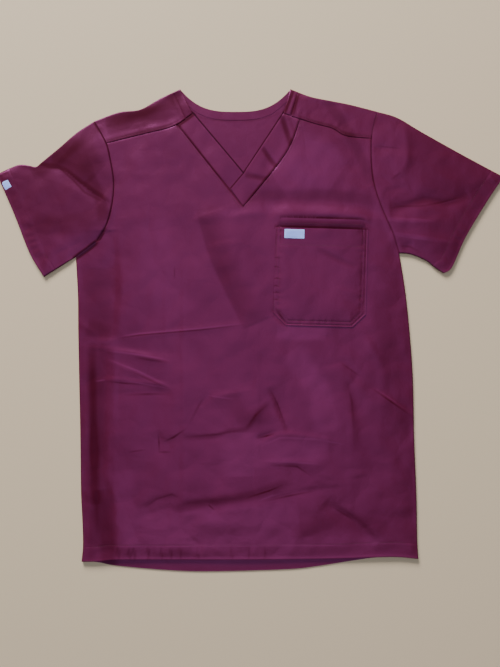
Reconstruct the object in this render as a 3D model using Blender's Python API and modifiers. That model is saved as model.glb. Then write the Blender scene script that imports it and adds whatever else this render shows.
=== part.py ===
"""A short-sleeved V-neck medical scrub top, laid flat on its back with the neck towards +Y.

The back, the back of the yoke and the undersides of the sleeves lie on the ground at z = 0.
The front lies over them, and the neckband and the two-layer chest pocket lie in or on it.
X runs across the garment. Left and right are as it is seen from above, so the sleeve on the
left is the wearer's right one. Sizes are in millimetres, turned into metres for each mesh.
"""

import math
from collections import namedtuple

import bmesh
import bpy
from mathutils import Matrix, Vector

METRES = 0.001
PLAN_CENTRE = Vector((0.0, -0.585, 0.0))  # the middle of the outline, which goes to the origin

# Cloth and the way that it lies
CLOTH = 1.2  # one wall of cloth
BAND_CLOTH = 1.5  # the neckband, which is folded double
PATCH_CLOTH = 1.0  # pocket layers and tabs
SEAM_GAP = 0.3  # between two pieces that are sewn edge to edge
POCKET_GAP = 0.6  # under the rear pocket, where the front below it curves
EDGE_TOP = 3.2  # top of the upper layer along every fold and hem
LOFT = 1.8  # how much higher the rest of it lies
LOFT_WIDTH = 22.0  # how far from an edge that rise takes
FOLD_ROUND = 1.0  # how far a folded edge is rounded off
LOWEST_TOP = 2.7  # the upper layer pressed onto the lower one

# Neckline
NECK_CENTRE_X = -22.0
NECK_WIDTH = 162.0
NECK_POINT_Y = 354.0
BACK_NECK_DROP = 33.0
BACK_NECK_POWER = 3.0  # how square the back neckline's curve is
BACK_BAND_WIDTH = 12.0
BAND_SINK = 2.0  # how far the lower band end dips under the upper one
BAND_SINK_RUN = 30.0  # and the length that it takes to get there

# Pocket
POCKET_CENTRE = (102.5, 77.0)
POCKET_WIDTH = 136.0
POCKET_HEIGHT = 143.0
POCKET_TURN = math.radians(-1.6)
POCKET_CORNER = 19.0  # the cut of each lower corner
REAR_RISE = 14.5  # how far the rear pocket shows above the front one
REAR_TAPER = 9.0  # how much its mouth draws in at each side
MOUTH_LIFT = 1.2  # how far each mouth stands off what is under it

# Woven tabs
Tab = namedtuple("Tab", "name x y width height turn")
POCKET_TAB = Tab("pocket_tab", 64.5, 140.5, 29.0, 13.0, POCKET_TURN)
SLEEVE_TAB = Tab("sleeve_tab", -358.0, 212.6, 12.5, 11.5, math.radians(-61.0))

# The side seams, from hem to underarm
Side = namedtuple("Side", "left_x left_y right_x right_y")
SIDE_SEAMS = [
    Side(-248.0, -340.0, 247.0, -336.0),
    Side(-246.0, -316.0, 245.5, -309.0),
    Side(-247.0, -279.0, 245.0, -279.0),
    Side(-249.0, -235.0, 244.0, -235.0),
    Side(-250.0, -150.0, 241.0, -160.0),
    Side(-251.5, -80.0, 239.0, -70.0),
    Side(-253.0, 0.0, 234.0, 0.0),
    Side(-253.5, 50.0, 227.5, 60.0),
    Side(-256.5, 107.5, 219.0, 113.0),
]

# The armholes, from underarm to the front yoke seam
ARMHOLES = [
    Side(-224.0, 131.0, 219.0, 113.0),
    Side(-208.0, 160.0, 209.0, 141.0),
    Side(-201.0, 192.0, 197.0, 168.0),
    Side(-200.0, 221.0, 185.0, 199.0),
    Side(-205.0, 252.0, 178.0, 232.0),
    Side(-211.0, 275.0, 177.0, 282.0),
]

# The armholes on up to the shoulder fold
ARMHOLE_TOPS = [
    Side(-211.0, 275.0, 177.0, 282.0),
    Side(-219.0, 290.0, 180.0, 300.0),
    Side(-229.0, 307.0, 186.0, 321.0),
]

# The hems of the front and of the longer, curved back
Hem = namedtuple("Hem", "x front_y back_y")
HEMS = [
    Hem(-248.0, -340.0, -340.0),
    Hem(-223.0, -339.5, -342.0),
    Hem(-195.0, -337.0, -347.0),
    Hem(-111.0, -337.0, -354.0),
    Hem(-44.0, -337.0, -355.0),
    Hem(56.0, -336.5, -352.0),
    Hem(98.0, -336.0, -347.5),
    Hem(140.0, -335.0, -341.0),
    Hem(178.0, -333.5, -335.5),
    Hem(216.0, -333.0, -333.0),
    Hem(247.0, -336.0, -336.0),
]

# The shoulder folds, from neck to armhole
Point = namedtuple("Point", "x y")
LEFT_SHOULDER = [
    Point(-103.0, 354.0),
    Point(-133.0, 340.0),
    Point(-162.0, 324.0),
    Point(-193.0, 320.0),
    Point(-229.0, 307.0),
]
RIGHT_SHOULDER = [
    Point(59.0, 354.0),
    Point(88.0, 343.0),
    Point(117.0, 337.0),
    Point(147.0, 331.0),
    Point(186.0, 321.0),
]

# The seams between the front and its yoke, from neckband to armhole
LEFT_YOKE_SEAM = [
    Point(-107.0, 303.0),
    Point(-125.0, 296.0),
    Point(-168.0, 286.0),
    Point(-211.0, 275.0),
]
RIGHT_YOKE_SEAM = [
    Point(72.0, 311.0),
    Point(96.0, 303.5),
    Point(121.0, 297.0),
    Point(141.0, 286.0),
    Point(177.0, 282.0),
]

# The V neckband: where it meets the yoke, where its edges cross and where it ends
BAND_LEFT_INNER = Point(-85.0, 318.0)
BAND_LEFT_OUTER = Point(-107.0, 303.0)
BAND_RIGHT_INNER = Point(49.0, 318.0)
BAND_RIGHT_OUTER = Point(72.0, 311.0)
BAND_CROSSING = Point(-10.0, 229.0)
V_TIP = Point(-11.0, 182.0)
RIGHT_BAND_BOW = [Point(38.0, 241.0), Point(60.0, 276.0)]
LEFT_BAND_END = Point(9.0, 206.0)
RIGHT_BAND_END = Point(-29.0, 208.0)

# Sleeve edges, from armhole to cuff
LEFT_SLEEVE_FOLD = [
    Point(-229.0, 307.0),
    Point(-242.0, 299.0),
    Point(-255.0, 290.0),
    Point(-268.0, 278.5),
    Point(-281.0, 267.5),
    Point(-294.0, 256.0),
    Point(-306.0, 247.0),
    Point(-315.0, 239.0),
    Point(-326.0, 242.0),
    Point(-339.0, 243.0),
    Point(-351.0, 239.0),
    Point(-362.0, 234.0),
    Point(-372.0, 229.0),
]
RIGHT_SLEEVE_FOLD = [
    Point(186.0, 321.0),
    Point(216.0, 312.0),
    Point(250.0, 292.0),
    Point(308.0, 259.5),
    Point(372.0, 225.0),
]
LEFT_UNDERARM = [
    Point(-224.0, 131.0),
    Point(-256.5, 107.5),
    Point(-303.0, 78.0),
]
RIGHT_UNDERARM = [
    Point(219.0, 113.0),
    Point(236.0, 111.0),
    Point(258.0, 102.0),
    Point(272.0, 91.0),
    Point(284.0, 83.5),
]
LEFT_CUFF = [
    Point(-372.0, 229.0),
    Point(-346.0, 169.0),
    Point(-324.0, 113.0),
    Point(-303.0, 78.0),
]
RIGHT_CUFF = [
    Point(372.0, 225.0),
    Point(349.0, 191.0),
    Point(316.0, 136.0),
    Point(296.0, 92.0),
    Point(284.0, 83.5),
]

# The largest folds of the upper layer: the line that each follows, how wide it is, how high
Fold = namedtuple("Fold", "width rise path")
FOLDS = [
    Fold(15, -1.7, [(-236, -20), (-229, -120), (-224, -215), (-220, -310)]),
    Fold(26, 0.7, [(-198, 150), (-198, 60), (-196, -40)]),
    Fold(18, -1.1, [(-216, 90), (-219, 20), (-228, -30)]),
    Fold(14, -1.3, [(-192, 0), (-120, 7), (-18, 18)]),
    Fold(18, -1.2, [(-47, 160), (-24, 80), (-5, 15)]),
    Fold(15, -1.3, [(25, 199), (90, 200), (165, 192)]),
    Fold(14, 0.8, [(-30, 172), (60, 181), (180, 172)]),
    Fold(15, -1.9, [(-98, -251), (-30, -249), (20, -243), (75, -218)]),
    Fold(18, 1.1, [(-115, -279), (-30, -274), (50, -266)]),
    Fold(14, -1.3, [(-122, -163), (-60, -158), (12, -153)]),
    Fold(14, 1.1, [(12, -175), (50, -153), (130, -167)]),
    Fold(14, -1.1, [(32, -84), (52, -150)]),
    Fold(14, 1.2, [(140, -85), (200, -125), (238, -152)]),
    Fold(14, -1.1, [(105, -257), (150, -285), (182, -310)]),
    Fold(14, -1.1, [(-172, -263), (-135, -247), (-98, -250)]),
    Fold(13, -2.2, [(-300, 236), (-277, 232), (-253, 218), (-230, 202), (-208, 186)]),
    Fold(26, 0.9, [(-330, 205), (-285, 200), (-245, 172)]),
    Fold(14, -2.0, [(221, 177), (256, 189), (290, 186), (318, 195)]),
    Fold(12, 1.2, [(206, 161), (240, 158), (290, 161)]),
    Fold(12, 0.9, [(212, 140), (245, 136), (290, 131)]),
    Fold(15, 0.9, [(228, 290), (228, 253), (205, 222)]),
    Fold(15, -1.2, [(110, 325), (124, 300), (150, 262), (172, 222)]),
    Fold(14, -1.0, [(-155, 322), (-120, 312)]),
    Fold(13, -2.0, [(-214, 143), (-234, 127), (-252, 113)]),
]
FOLD_EDGE_FADE = 12.0  # folds die out this near to an edge

# How many steps each line is divided into
SIDE_STEPS = 26
BACK_SIDE_STEPS = 12
WEDGE_STEPS = 2  # at the left underarm, where the body shows below the sleeve
ARMHOLE_STEPS = 8
BACK_YOKE_STEPS = 4  # the armhole steps below the back yoke seam
TOP_STEPS = 2
SHOULDER_STEPS = 6
WING_STEPS = SHOULDER_STEPS + 1  # and one more over the end of the V neckband
V_STEPS = 10
BACK_NECK_STEPS = 10
SLEEVE_STEPS = 12
BAND_COLUMNS = 2
POCKET_COLUMNS = 9
POCKET_ROWS = 9
HEM_COLUMNS = 2 * (SHOULDER_STEPS + V_STEPS)
BACK_COLUMNS = 16

# Colours and finishes
WINE = (0.105, 0.014, 0.044, 1.0)
LABEL_GREY = (0.56, 0.62, 0.70, 1.0)
CLOTH_ROUGHNESS = 0.82
LABEL_ROUGHNESS = 0.6

COLLECTION = "scrub_top"


def spread(points, steps):
    """A line through some points, divided into equal steps along its length."""
    line = [Vector((p[0], p[1])) for p in points]
    reach = [0.0]
    for a, b in zip(line, line[1:]):
        reach.append(reach[-1] + (b - a).length)
    found = []
    leg = 0
    for step in range(steps + 1):
        at = reach[-1] * step / steps
        while leg < len(line) - 2 and reach[leg + 1] < at:
            leg += 1
        share = (at - reach[leg]) / (reach[leg + 1] - reach[leg])
        found.append(line[leg].lerp(line[leg + 1], min(share, 1.0)))
    return found


def curve(points, steps, fineness=12):
    """The same, but smooth between the points."""
    known = [Vector((p[0], p[1])) for p in points]
    padded = [known[0] * 2 - known[1], *known, known[-1] * 2 - known[-2]]
    fine = [known[0]]
    for a, b, c, d in zip(padded, padded[1:], padded[2:], padded[3:]):
        for i in range(1, fineness + 1):
            t = i / fineness
            bend = (2 * a - 5 * b + 4 * c - d) * t**2 + (3 * b - a - 3 * c + d) * t**3
            fine.append(0.5 * (2 * b + (c - a) * t + bend))
    return spread(fine, steps)


def shares(line):
    """How far along a line each of its points lies, from 0 to 1."""
    reach = [0.0]
    for a, b in zip(line, line[1:]):
        reach.append(reach[-1] + (b - a).length)
    return [r / reach[-1] for r in reach]


def patch(bottom, top, left, right):
    """Rows of points that fill the space between four lines, all with two corners in common."""
    across = [(a + b) / 2 for a, b in zip(shares(bottom), shares(top))]
    along = [(a + b) / 2 for a, b in zip(shares(left), shares(right))]
    rows = []
    for v, start, end in zip(along, left, right):
        row = []
        for u, low, high in zip(across, bottom, top):
            below = bottom[0] * (1 - u) + bottom[-1] * u
            above = top[0] * (1 - u) + top[-1] * u
            from_corners = below * (1 - v) + above * v
            row.append(low * (1 - v) + high * v + start * (1 - u) + end * u - from_corners)
        rows.append(row)
    return rows


def inset(rows, sides, by=SEAM_GAP / 2):
    """The same points with the named sides drawn in square to themselves, for a seam's gap."""
    last_row, last_column = len(rows) - 1, len(rows[0]) - 1
    keys = {
        "bottom": [(0, c) for c in range(last_column + 1)],
        "right": [(r, last_column) for r in range(last_row + 1)],
        "top": [(last_row, c) for c in range(last_column, -1, -1)],
        "left": [(r, 0) for r in range(last_row, -1, -1)],
    }
    across = rows[0][-1] - rows[0][0]
    up = rows[-1][0] - rows[0][0]
    turn = math.copysign(by, across.cross(up))
    moved = [[p.copy() for p in row] for row in rows]
    for side in sides:
        line = keys[side]
        for before, key, after in zip([line[0], *line], line, [*line[1:], line[-1]]):
            along = rows[after[0]][after[1]] - rows[before[0]][before[1]]
            moved[key[0]][key[1]] += Vector((-along.y, along.x)).normalized() * turn
    return moved


def distance_to(point, line):
    """The shortest distance from a point to a line."""
    nearest = math.inf
    for a, b in zip(line, line[1:]):
        along = b - a
        share = max(0.0, min(1.0, (point - a).dot(along) / along.length_squared))
        nearest = min(nearest, (point - a - along * share).length)
    return nearest


# The lines that the pieces share
left_side = curve([(s.left_x, s.left_y) for s in SIDE_SEAMS], SIDE_STEPS)
right_side = curve([(s.right_x, s.right_y) for s in SIDE_SEAMS], SIDE_STEPS)
left_back_side = curve([(s.left_x, s.left_y) for s in SIDE_SEAMS], BACK_SIDE_STEPS)
right_back_side = curve([(s.right_x, s.right_y) for s in SIDE_SEAMS], BACK_SIDE_STEPS)
left_wedge = spread([LEFT_UNDERARM[1], LEFT_UNDERARM[0]], WEDGE_STEPS)
left_armhole = curve([(a.left_x, a.left_y) for a in ARMHOLES], ARMHOLE_STEPS)
right_armhole = curve([(a.right_x, a.right_y) for a in ARMHOLES], ARMHOLE_STEPS + WEDGE_STEPS)
left_top = curve([(a.left_x, a.left_y) for a in ARMHOLE_TOPS], TOP_STEPS)
right_top = curve([(a.right_x, a.right_y) for a in ARMHOLE_TOPS], TOP_STEPS)
left_seam = curve(LEFT_YOKE_SEAM, SHOULDER_STEPS)
right_seam = curve(RIGHT_YOKE_SEAM, SHOULDER_STEPS)
left_v = spread([BAND_LEFT_OUTER, V_TIP], V_STEPS)
right_v = curve([V_TIP, *RIGHT_BAND_BOW, BAND_RIGHT_OUTER], V_STEPS)
left_fold = spread(LEFT_SLEEVE_FOLD, SLEEVE_STEPS)
right_fold = curve(RIGHT_SLEEVE_FOLD, SLEEVE_STEPS)
left_under = left_wedge[::-1] + spread(LEFT_UNDERARM[1:], SLEEVE_STEPS - WEDGE_STEPS)[1:]
right_under = curve(RIGHT_UNDERARM, SLEEVE_STEPS)
left_cuff = curve(LEFT_CUFF, ARMHOLE_STEPS + TOP_STEPS)
right_cuff = curve(RIGHT_CUFF, ARMHOLE_STEPS + WEDGE_STEPS + TOP_STEPS)
front_hem = curve([(h.x, h.front_y) for h in HEMS], HEM_COLUMNS)
back_hem = curve([(h.x, h.back_y) for h in HEMS], BACK_COLUMNS)

SILHOUETTE = [
    left_side,
    right_side,
    back_hem,
    left_under[WEDGE_STEPS:],
    right_under,
    left_cuff,
    right_cuff,
    left_fold,
    right_fold,
    curve(LEFT_SHOULDER, 2 * SHOULDER_STEPS),
    curve(RIGHT_SHOULDER, 2 * SHOULDER_STEPS),
]
FOLD_LINES = [spread(fold.path, len(fold.path) - 1) for fold in FOLDS]


def cloth_top(point):
    """The height of the upper layer's outside above a point of the ground."""
    inside = min(distance_to(point, line) for line in SILHOUETTE)
    height = EDGE_TOP + LOFT * (1 - math.exp(-((inside / LOFT_WIDTH) ** 1.5)))
    fade = 1 - math.exp(-((inside / FOLD_EDGE_FADE) ** 2))
    for fold, line in zip(FOLDS, FOLD_LINES):
        away = distance_to(point, line) / fold.width
        height += fold.rise * fade * math.exp(-(away**2))
    return max(height, LOWEST_TOP)


def raised(point, height):
    return Vector((point.x, point.y, height))


def upper(line, lift=0.0):
    """Points of the upper layer's outside, or a lift above it."""
    return [raised(p, cloth_top(p) + lift) for p in line]


def grounded(line):
    return [raised(p, 0.0) for p in line]


def folded(edge, inward, lift=0.0):
    """The three points that take a wall's outside round a folded edge, down to the ground."""
    top = cloth_top(edge) + lift
    near = edge + inward * FOLD_ROUND
    return [raised(near, top), raised(edge, top / 2), raised(near, 0.0)]


def cloth_material(name, colour, roughness):
    """A Principled material for one piece."""
    material = bpy.data.materials.new(name)
    material.use_nodes = True
    shader = material.node_tree.nodes["Principled BSDF"]
    shader.inputs["Base Color"].default_value = colour
    shader.inputs["Roughness"].default_value = roughness
    shader.inputs["Metallic"].default_value = 0.0
    material.diffuse_color = colour
    return material


def piece(name, rows, thickness=CLOTH, grows=-1, colour=WINE, roughness=CLOTH_ROUGHNESS):
    """A sheet through rows of points with a wall's thickness, below it or, with grows 1, above.

    Where a point is None the grid is cut away, and where a row's ends meet it is a tube.
    """
    grid = bmesh.new()
    bmesh.ops.create_grid(grid, x_segments=len(rows[0]) - 1, y_segments=len(rows) - 1, size=1)
    cut = []
    points = [p for row in rows for p in row]
    for vert, point in zip(list(grid.verts), points):
        if point is None:
            cut.append(vert)
        else:
            vert.co = (point - PLAN_CENTRE) * METRES
    bmesh.ops.delete(grid, geom=cut, context="VERTS")
    bmesh.ops.remove_doubles(grid, verts=grid.verts, dist=0.00001)
    mesh = bpy.data.meshes.new(name)
    grid.to_mesh(mesh)
    grid.free()
    mesh.shade_smooth()
    mesh.set_sharp_from_angle(angle=math.radians(40))
    mesh.materials.append(cloth_material(name + "_finish", colour, roughness))
    made = bpy.data.objects.new(name, mesh)
    bpy.data.collections[COLLECTION].objects.link(made)
    wall = made.modifiers.new("wall", "SOLIDIFY")
    wall.thickness = thickness * METRES
    wall.offset = grows
    wall.use_even_offset = True
    wall.use_quality_normals = True
    return made


def make_back():
    """The back, from its curved hem to the back yoke seam, flat on the ground."""
    low = BACK_YOKE_STEPS + 1
    left = left_back_side + left_wedge[1:] + left_armhole[1:low]
    right = right_back_side + right_armhole[1 : low + WEDGE_STEPS]
    seam = spread([left[-1], right[-1]], BACK_COLUMNS)
    rows = inset(patch(back_hem, seam, left, right), ["left", "right", "top"])
    return piece("back", [grounded(row) for row in rows], grows=1)


def make_front():
    """The front, from its hem to the yoke seams and the neckband."""
    top = left_seam[::-1] + left_v[1:] + right_v[1:] + right_seam[1:]
    left = left_side + left_wedge[1:] + left_armhole[1:]
    right = right_side + right_armhole[1:]
    rows = inset(patch(front_hem, top, left, right), ["left", "right", "top"])
    return piece("front", [upper(row) for row in rows])


def make_sleeve(name, armhole, cuff, fold, under, outward):
    """A sleeve, a flattened tube: rings that run down over the upper layer and back below."""
    plan = inset(patch(fold, under, armhole, cuff), ["left", "top"])
    rings = []
    for line in zip(*plan):
        over = folded(line[0], (line[1] - line[0]).normalized())
        below = folded(line[-1], (line[-2] - line[-1]).normalized())
        middle = line[1:-1]
        ring = over[:1] + upper(middle) + below + grounded(middle[::-1]) + over[:0:-1] + over[:1]
        rings.append(ring)
    return piece(name, rings[::outward])


def back_neckline():
    """The back neckline, from the left neck point to the right one."""
    fine = []
    for i in range(8 * BACK_NECK_STEPS + 1):
        t = i / (4 * BACK_NECK_STEPS) - 1
        drop = BACK_NECK_DROP * (1 - abs(t) ** BACK_NECK_POWER)
        fine.append((NECK_CENTRE_X + t * NECK_WIDTH / 2, NECK_POINT_Y - drop))
    return spread(fine, BACK_NECK_STEPS)


def along_shoulder(shoulder):
    """The shoulder fold, from the back neckband's lower line out to the armhole."""
    line = curve(shoulder, 60)
    return spread([p for p in line if (p - line[0]).length > BACK_BAND_WIDTH], WING_STEPS)


def band_line():
    """The back neckband's lower line, between the two shoulder folds."""
    middle = [p - Vector((0, BACK_BAND_WIDTH)) for p in back_neckline()[2:-2]]
    ends = [along_shoulder(LEFT_SHOULDER)[0], along_shoulder(RIGHT_SHOULDER)[0]]
    return spread([ends[0], *middle, ends[1]], BACK_NECK_STEPS)


def seam_to_band(seam, inner):
    """A front yoke seam with the stretch before it, over the end of the V neckband."""
    return [seam[0].lerp(Vector(inner), 0.5), *seam]


def make_yoke():
    """The yoke: it lies across the back and folds over both shoulders to the front."""
    left_shoulder = along_shoulder(LEFT_SHOULDER)[::-1]
    right_shoulder = along_shoulder(RIGHT_SHOULDER)
    left_front = seam_to_band(left_seam, BAND_LEFT_INNER)[::-1]
    right_front = seam_to_band(right_seam, BAND_RIGHT_INNER)
    left_inner = spread([left_front[-1], left_shoulder[-1]], TOP_STEPS)
    right_inner = spread([right_front[0], right_shoulder[0]], TOP_STEPS)
    left_wing = patch(left_front, left_shoulder, left_top, left_inner)
    right_wing = patch(right_front, right_shoulder, right_inner, right_top)
    left_wing = inset(left_wing, ["left", "bottom", "right"])
    right_wing = inset(right_wing, ["left", "bottom", "right"])

    top = left_shoulder + band_line()[1:] + right_shoulder[1:]
    left = left_armhole[BACK_YOKE_STEPS:] + left_top[1:]
    right = right_armhole[BACK_YOKE_STEPS + WEDGE_STEPS :] + right_top[1:]
    bottom = spread([left[0], right[0]], len(top) - 1)
    ground = inset(patch(bottom, top, left, right), ["left", "right", "bottom"])
    last_left = WING_STEPS
    first_right = len(top) - 1 - WING_STEPS
    columns = []
    for c, line in enumerate(zip(*ground[::-1])):
        wing = None
        if c <= last_left:
            wing = [row[c] for row in left_wing]
        if c >= first_right:
            wing = [row[c - first_right] for row in right_wing]
        if wing:
            start = upper(wing[:-1]) + folded(wing[-1], (wing[-2] - wing[-1]).normalized())
        else:
            start = [None] * (TOP_STEPS + 2) + grounded([line[0] - Vector((0, SEAM_GAP / 2))])
        columns.append(start + grounded(line[1:]))
    return piece("yoke", list(zip(*columns)))


def make_neckband_back():
    """The narrow band: up the left wing, round the back of the neck and down the right one."""
    neckline, lower = back_neckline(), band_line()
    lift = BAND_CLOTH - CLOTH
    sections = []

    def across(outer, inner):
        """The three points of one section, clear of the yoke."""
        return spread([outer + (inner - outer).normalized() * SEAM_GAP / 2, inner], 2)

    def wing(inner, outer, neck, outer_neck, order):
        """The stretch on one wing, with its turn over the shoulder fold."""
        found = []
        for step in range(TOP_STEPS):
            share = 0.015 + step / TOP_STEPS
            section = across(outer.lerp(outer_neck, share), inner.lerp(neck, share))
            found.append(upper(section, lift))
        down = (outer - outer_neck).normalized()
        bend = [folded(p, down, lift) for p in across(outer_neck, neck)]
        found.extend(list(row) for row in zip(*bend))
        return found[::order]

    left_outer = seam_to_band(left_seam, BAND_LEFT_INNER)[0]
    right_outer = seam_to_band(right_seam, BAND_RIGHT_INNER)[0]
    sections += wing(Vector(BAND_LEFT_INNER), left_outer, neckline[0], lower[0], 1)
    for outer, inner in list(zip(lower, neckline))[1:-1]:
        sections.append(grounded(across(outer, inner)))
    sections += wing(Vector(BAND_RIGHT_INNER), right_outer, neckline[-1], lower[-1], -1)
    return piece("neckband_back", sections, BAND_CLOTH)


def band_rows(inner, outer):
    """The points of one half of the V neckband, drawn in at all its seams."""
    left = spread([outer[0], inner[0]], BAND_COLUMNS)
    right = spread([outer[-1], inner[-1]], BAND_COLUMNS)
    return inset(patch(outer, inner, left, right), ["left", "right", "bottom"])


def make_neckband_left():
    """The left half of the V neckband, whose end dips under the right half."""
    inner = spread([BAND_LEFT_INNER, BAND_CROSSING, LEFT_BAND_END], V_STEPS)
    over = Vector(BAND_CROSSING) - Vector(RIGHT_BAND_END)
    square = Vector((over.y, -over.x)).normalized()
    rows = []
    for row in band_rows(inner, left_v):
        made = []
        for p in row:
            past = (p - Vector(BAND_CROSSING)).dot(square) / BAND_SINK_RUN
            share = max(0.0, min(1.0, 1 + past))
            sink = BAND_SINK * share * share * (3 - 2 * share)
            made.append(raised(p, cloth_top(p) + BAND_CLOTH - CLOTH - sink))
        rows.append(made)
    return piece("neckband_left", rows, BAND_CLOTH)


def make_neckband_right():
    """The right half of the V neckband, which lies over the end of the left half."""
    inner = spread([RIGHT_BAND_END, BAND_CROSSING, BAND_RIGHT_INNER], V_STEPS)
    rows = [upper(row, BAND_CLOTH - CLOTH) for row in band_rows(inner, right_v)]
    return piece("neckband_right", rows, BAND_CLOTH)


def on_pocket(x, y):
    """A point of the garment, from the pocket's centre in the pocket's own directions."""
    return Matrix.Rotation(POCKET_TURN, 2) @ Vector((x, y)) + Vector(POCKET_CENTRE)


def pocket_rows():
    """The rear pocket's points; the front pocket has all but the rows above its mouth."""
    w, h, cut = POCKET_WIDTH / 2, POCKET_HEIGHT / 2, POCKET_CORNER
    corners = [(-w, cut - h), (cut - w, -h), (w - cut, -h), (w, cut - h)]
    edges = [on_pocket(x, y) for x, y in corners]
    corner_steps = 2
    bottom = spread(edges[:2], corner_steps)
    bottom += spread(edges[1:3], POCKET_COLUMNS - 2 * corner_steps)[1:]
    bottom += spread(edges[2:], corner_steps)[1:]
    mouth = spread([on_pocket(-w, h), on_pocket(w, h)], POCKET_COLUMNS)
    left = spread([bottom[0], mouth[0]], POCKET_ROWS)
    right = spread([bottom[-1], mouth[-1]], POCKET_ROWS)
    rows = patch(bottom, mouth, left, right)
    rear_left = on_pocket(REAR_TAPER - w, h + REAR_RISE)
    rear_right = on_pocket(w - REAR_TAPER, h + REAR_RISE)
    rows.append(spread([rear_left, rear_right], POCKET_COLUMNS))
    return rows


def mouth_lift(across, up):
    """How far a pocket layer is lifted, for shares of its width and of its height."""
    return MOUTH_LIFT * math.sin(math.pi * across) * up**6


def pocket_layer(name, rows, lift):
    """One layer of the pocket, whose mouth stands a little off what lies under it."""
    made = []
    for r, row in enumerate(rows):
        line = []
        for c, p in enumerate(row):
            opened = mouth_lift(c / POCKET_COLUMNS, r / (len(rows) - 1))
            line.append(raised(p, cloth_top(p) + lift + PATCH_CLOTH + opened))
        made.append(line)
    return piece(name, made, PATCH_CLOTH)


def make_tab(tab, lift):
    """A woven tab, sewn on flat at its place; the pocket's goes with the mouth."""
    turn = Matrix.Rotation(tab.turn, 2)
    rows = []
    for y in (-0.5, 0.5):
        ends = [turn @ Vector((x * tab.width, y * tab.height)) for x in (-0.5, 0.5)]
        line = []
        for p in spread(ends, 2):
            place = p + Vector((tab.x, tab.y))
            opened = 0.0
            if tab is POCKET_TAB:
                local = Matrix.Rotation(-POCKET_TURN, 2) @ (place - Vector(POCKET_CENTRE))
                opened = mouth_lift(local.x / POCKET_WIDTH + 0.5, local.y / POCKET_HEIGHT + 0.5)
            line.append(raised(place, cloth_top(place) + lift + PATCH_CLOTH + opened))
        rows.append(line)
    return piece(tab.name, rows, PATCH_CLOTH, colour=LABEL_GREY, roughness=LABEL_ROUGHNESS)


def main():
    for old in list(bpy.data.objects):
        bpy.data.objects.remove(old)
    bpy.context.scene.collection.children.link(bpy.data.collections.new(COLLECTION))
    make_back()
    make_yoke()
    make_front()
    left = (left_armhole + left_top[1:])[::-1]
    right = (right_armhole + right_top[1:])[::-1]
    make_sleeve("sleeve_left", left, left_cuff, left_fold, left_under, -1)
    make_sleeve("sleeve_right", right, right_cuff, right_fold, right_under, 1)
    make_neckband_back()
    make_neckband_left()
    make_neckband_right()
    rows = pocket_rows()
    front_lift = POCKET_GAP + PATCH_CLOTH + SEAM_GAP
    pocket_layer("pocket_rear", rows, POCKET_GAP)
    pocket_layer("pocket_front", rows[: POCKET_ROWS + 1], front_lift)
    make_tab(POCKET_TAB, front_lift + PATCH_CLOTH + SEAM_GAP)
    make_tab(SLEEVE_TAB, SEAM_GAP)


main()
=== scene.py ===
import math

import bmesh
import bpy
import numpy as np
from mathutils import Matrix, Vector


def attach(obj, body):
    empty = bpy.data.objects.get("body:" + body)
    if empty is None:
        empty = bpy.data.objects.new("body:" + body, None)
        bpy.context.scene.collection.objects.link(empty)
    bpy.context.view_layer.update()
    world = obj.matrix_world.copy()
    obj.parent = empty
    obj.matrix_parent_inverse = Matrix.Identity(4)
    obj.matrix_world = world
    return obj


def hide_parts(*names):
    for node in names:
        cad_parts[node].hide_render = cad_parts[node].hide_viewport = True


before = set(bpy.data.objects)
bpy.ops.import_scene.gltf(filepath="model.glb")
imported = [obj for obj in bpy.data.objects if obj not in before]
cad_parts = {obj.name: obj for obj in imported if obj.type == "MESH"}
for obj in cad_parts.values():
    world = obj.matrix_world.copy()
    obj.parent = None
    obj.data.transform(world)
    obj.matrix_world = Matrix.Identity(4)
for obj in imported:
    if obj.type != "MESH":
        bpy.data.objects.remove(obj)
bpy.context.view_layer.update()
print("frame loaded with", len(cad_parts), "nodes")

# Sizes are in millimetres on the garment laid flat: x across it, y up to the neck, z off the floor.
# Left and right are as seen from above.
garment = {
    "toMetres": 0.001,
    "shift": (0.0, 0.585, 0.0),  # from the tables' origin to the frame's
    "wall": 0.8,  # one layer of cloth
    "edgeTop": 3.2,  # top of the upper layer along a fold or a hem
    "loft": 1.8,  # how much higher the rest of it lies
    "loftWidth": 22.0,
    "foldFade": 12.0,  # folds die out this near to an edge
    "creaseFade": 5.0,  # and creases this near
    "lowestTop": 2.7,
    "rollRadius": 1.6,  # a folded edge
    "foldSteps": 6,  # faces round the fold of a sleeve, a shoulder or the neckband
    "tuck": 1.8,  # how far the under side of a seam goes below the upper one
    "foldShape": (2.0, 0.35),  # powers of a fold's bell across it and of its taper along it
    "creaseShape": (1.6, 0.6),
    "napShape": (4.0, 0.3),
}


# Lines and grids of points

def smoothed(points, steps=6):  # a curve through some points
    p = np.array(points, float)
    p = np.vstack([2 * p[0] - p[1], p, 2 * p[-1] - p[-2]])
    t = (np.arange(steps) + 1)[:, None] / steps
    legs = [p[1:2]]
    for a, b, c, d in zip(p, p[1:], p[2:], p[3:]):
        bend = (2 * a - 5 * b + 4 * c - d) * t**2 + (3 * b - a - 3 * c + d) * t**3
        legs.append(0.5 * (2 * b + (c - a) * t + bend))
    return np.vstack(legs)


def reach(line):  # how far along a line each of its points lies
    return np.concatenate([[0.0], np.cumsum(np.linalg.norm(np.diff(line, axis=0), axis=1))])


def shares(line):  # the same from 0 to 1
    along = reach(line)
    return along / along[-1]


def walk(line, stops):  # the points of a line at some shares of its length
    line = np.array(line, float)
    along = shares(line)
    return np.stack([np.interp(stops, along, line[:, i]) for i in range(line.shape[1])], axis=1)


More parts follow.
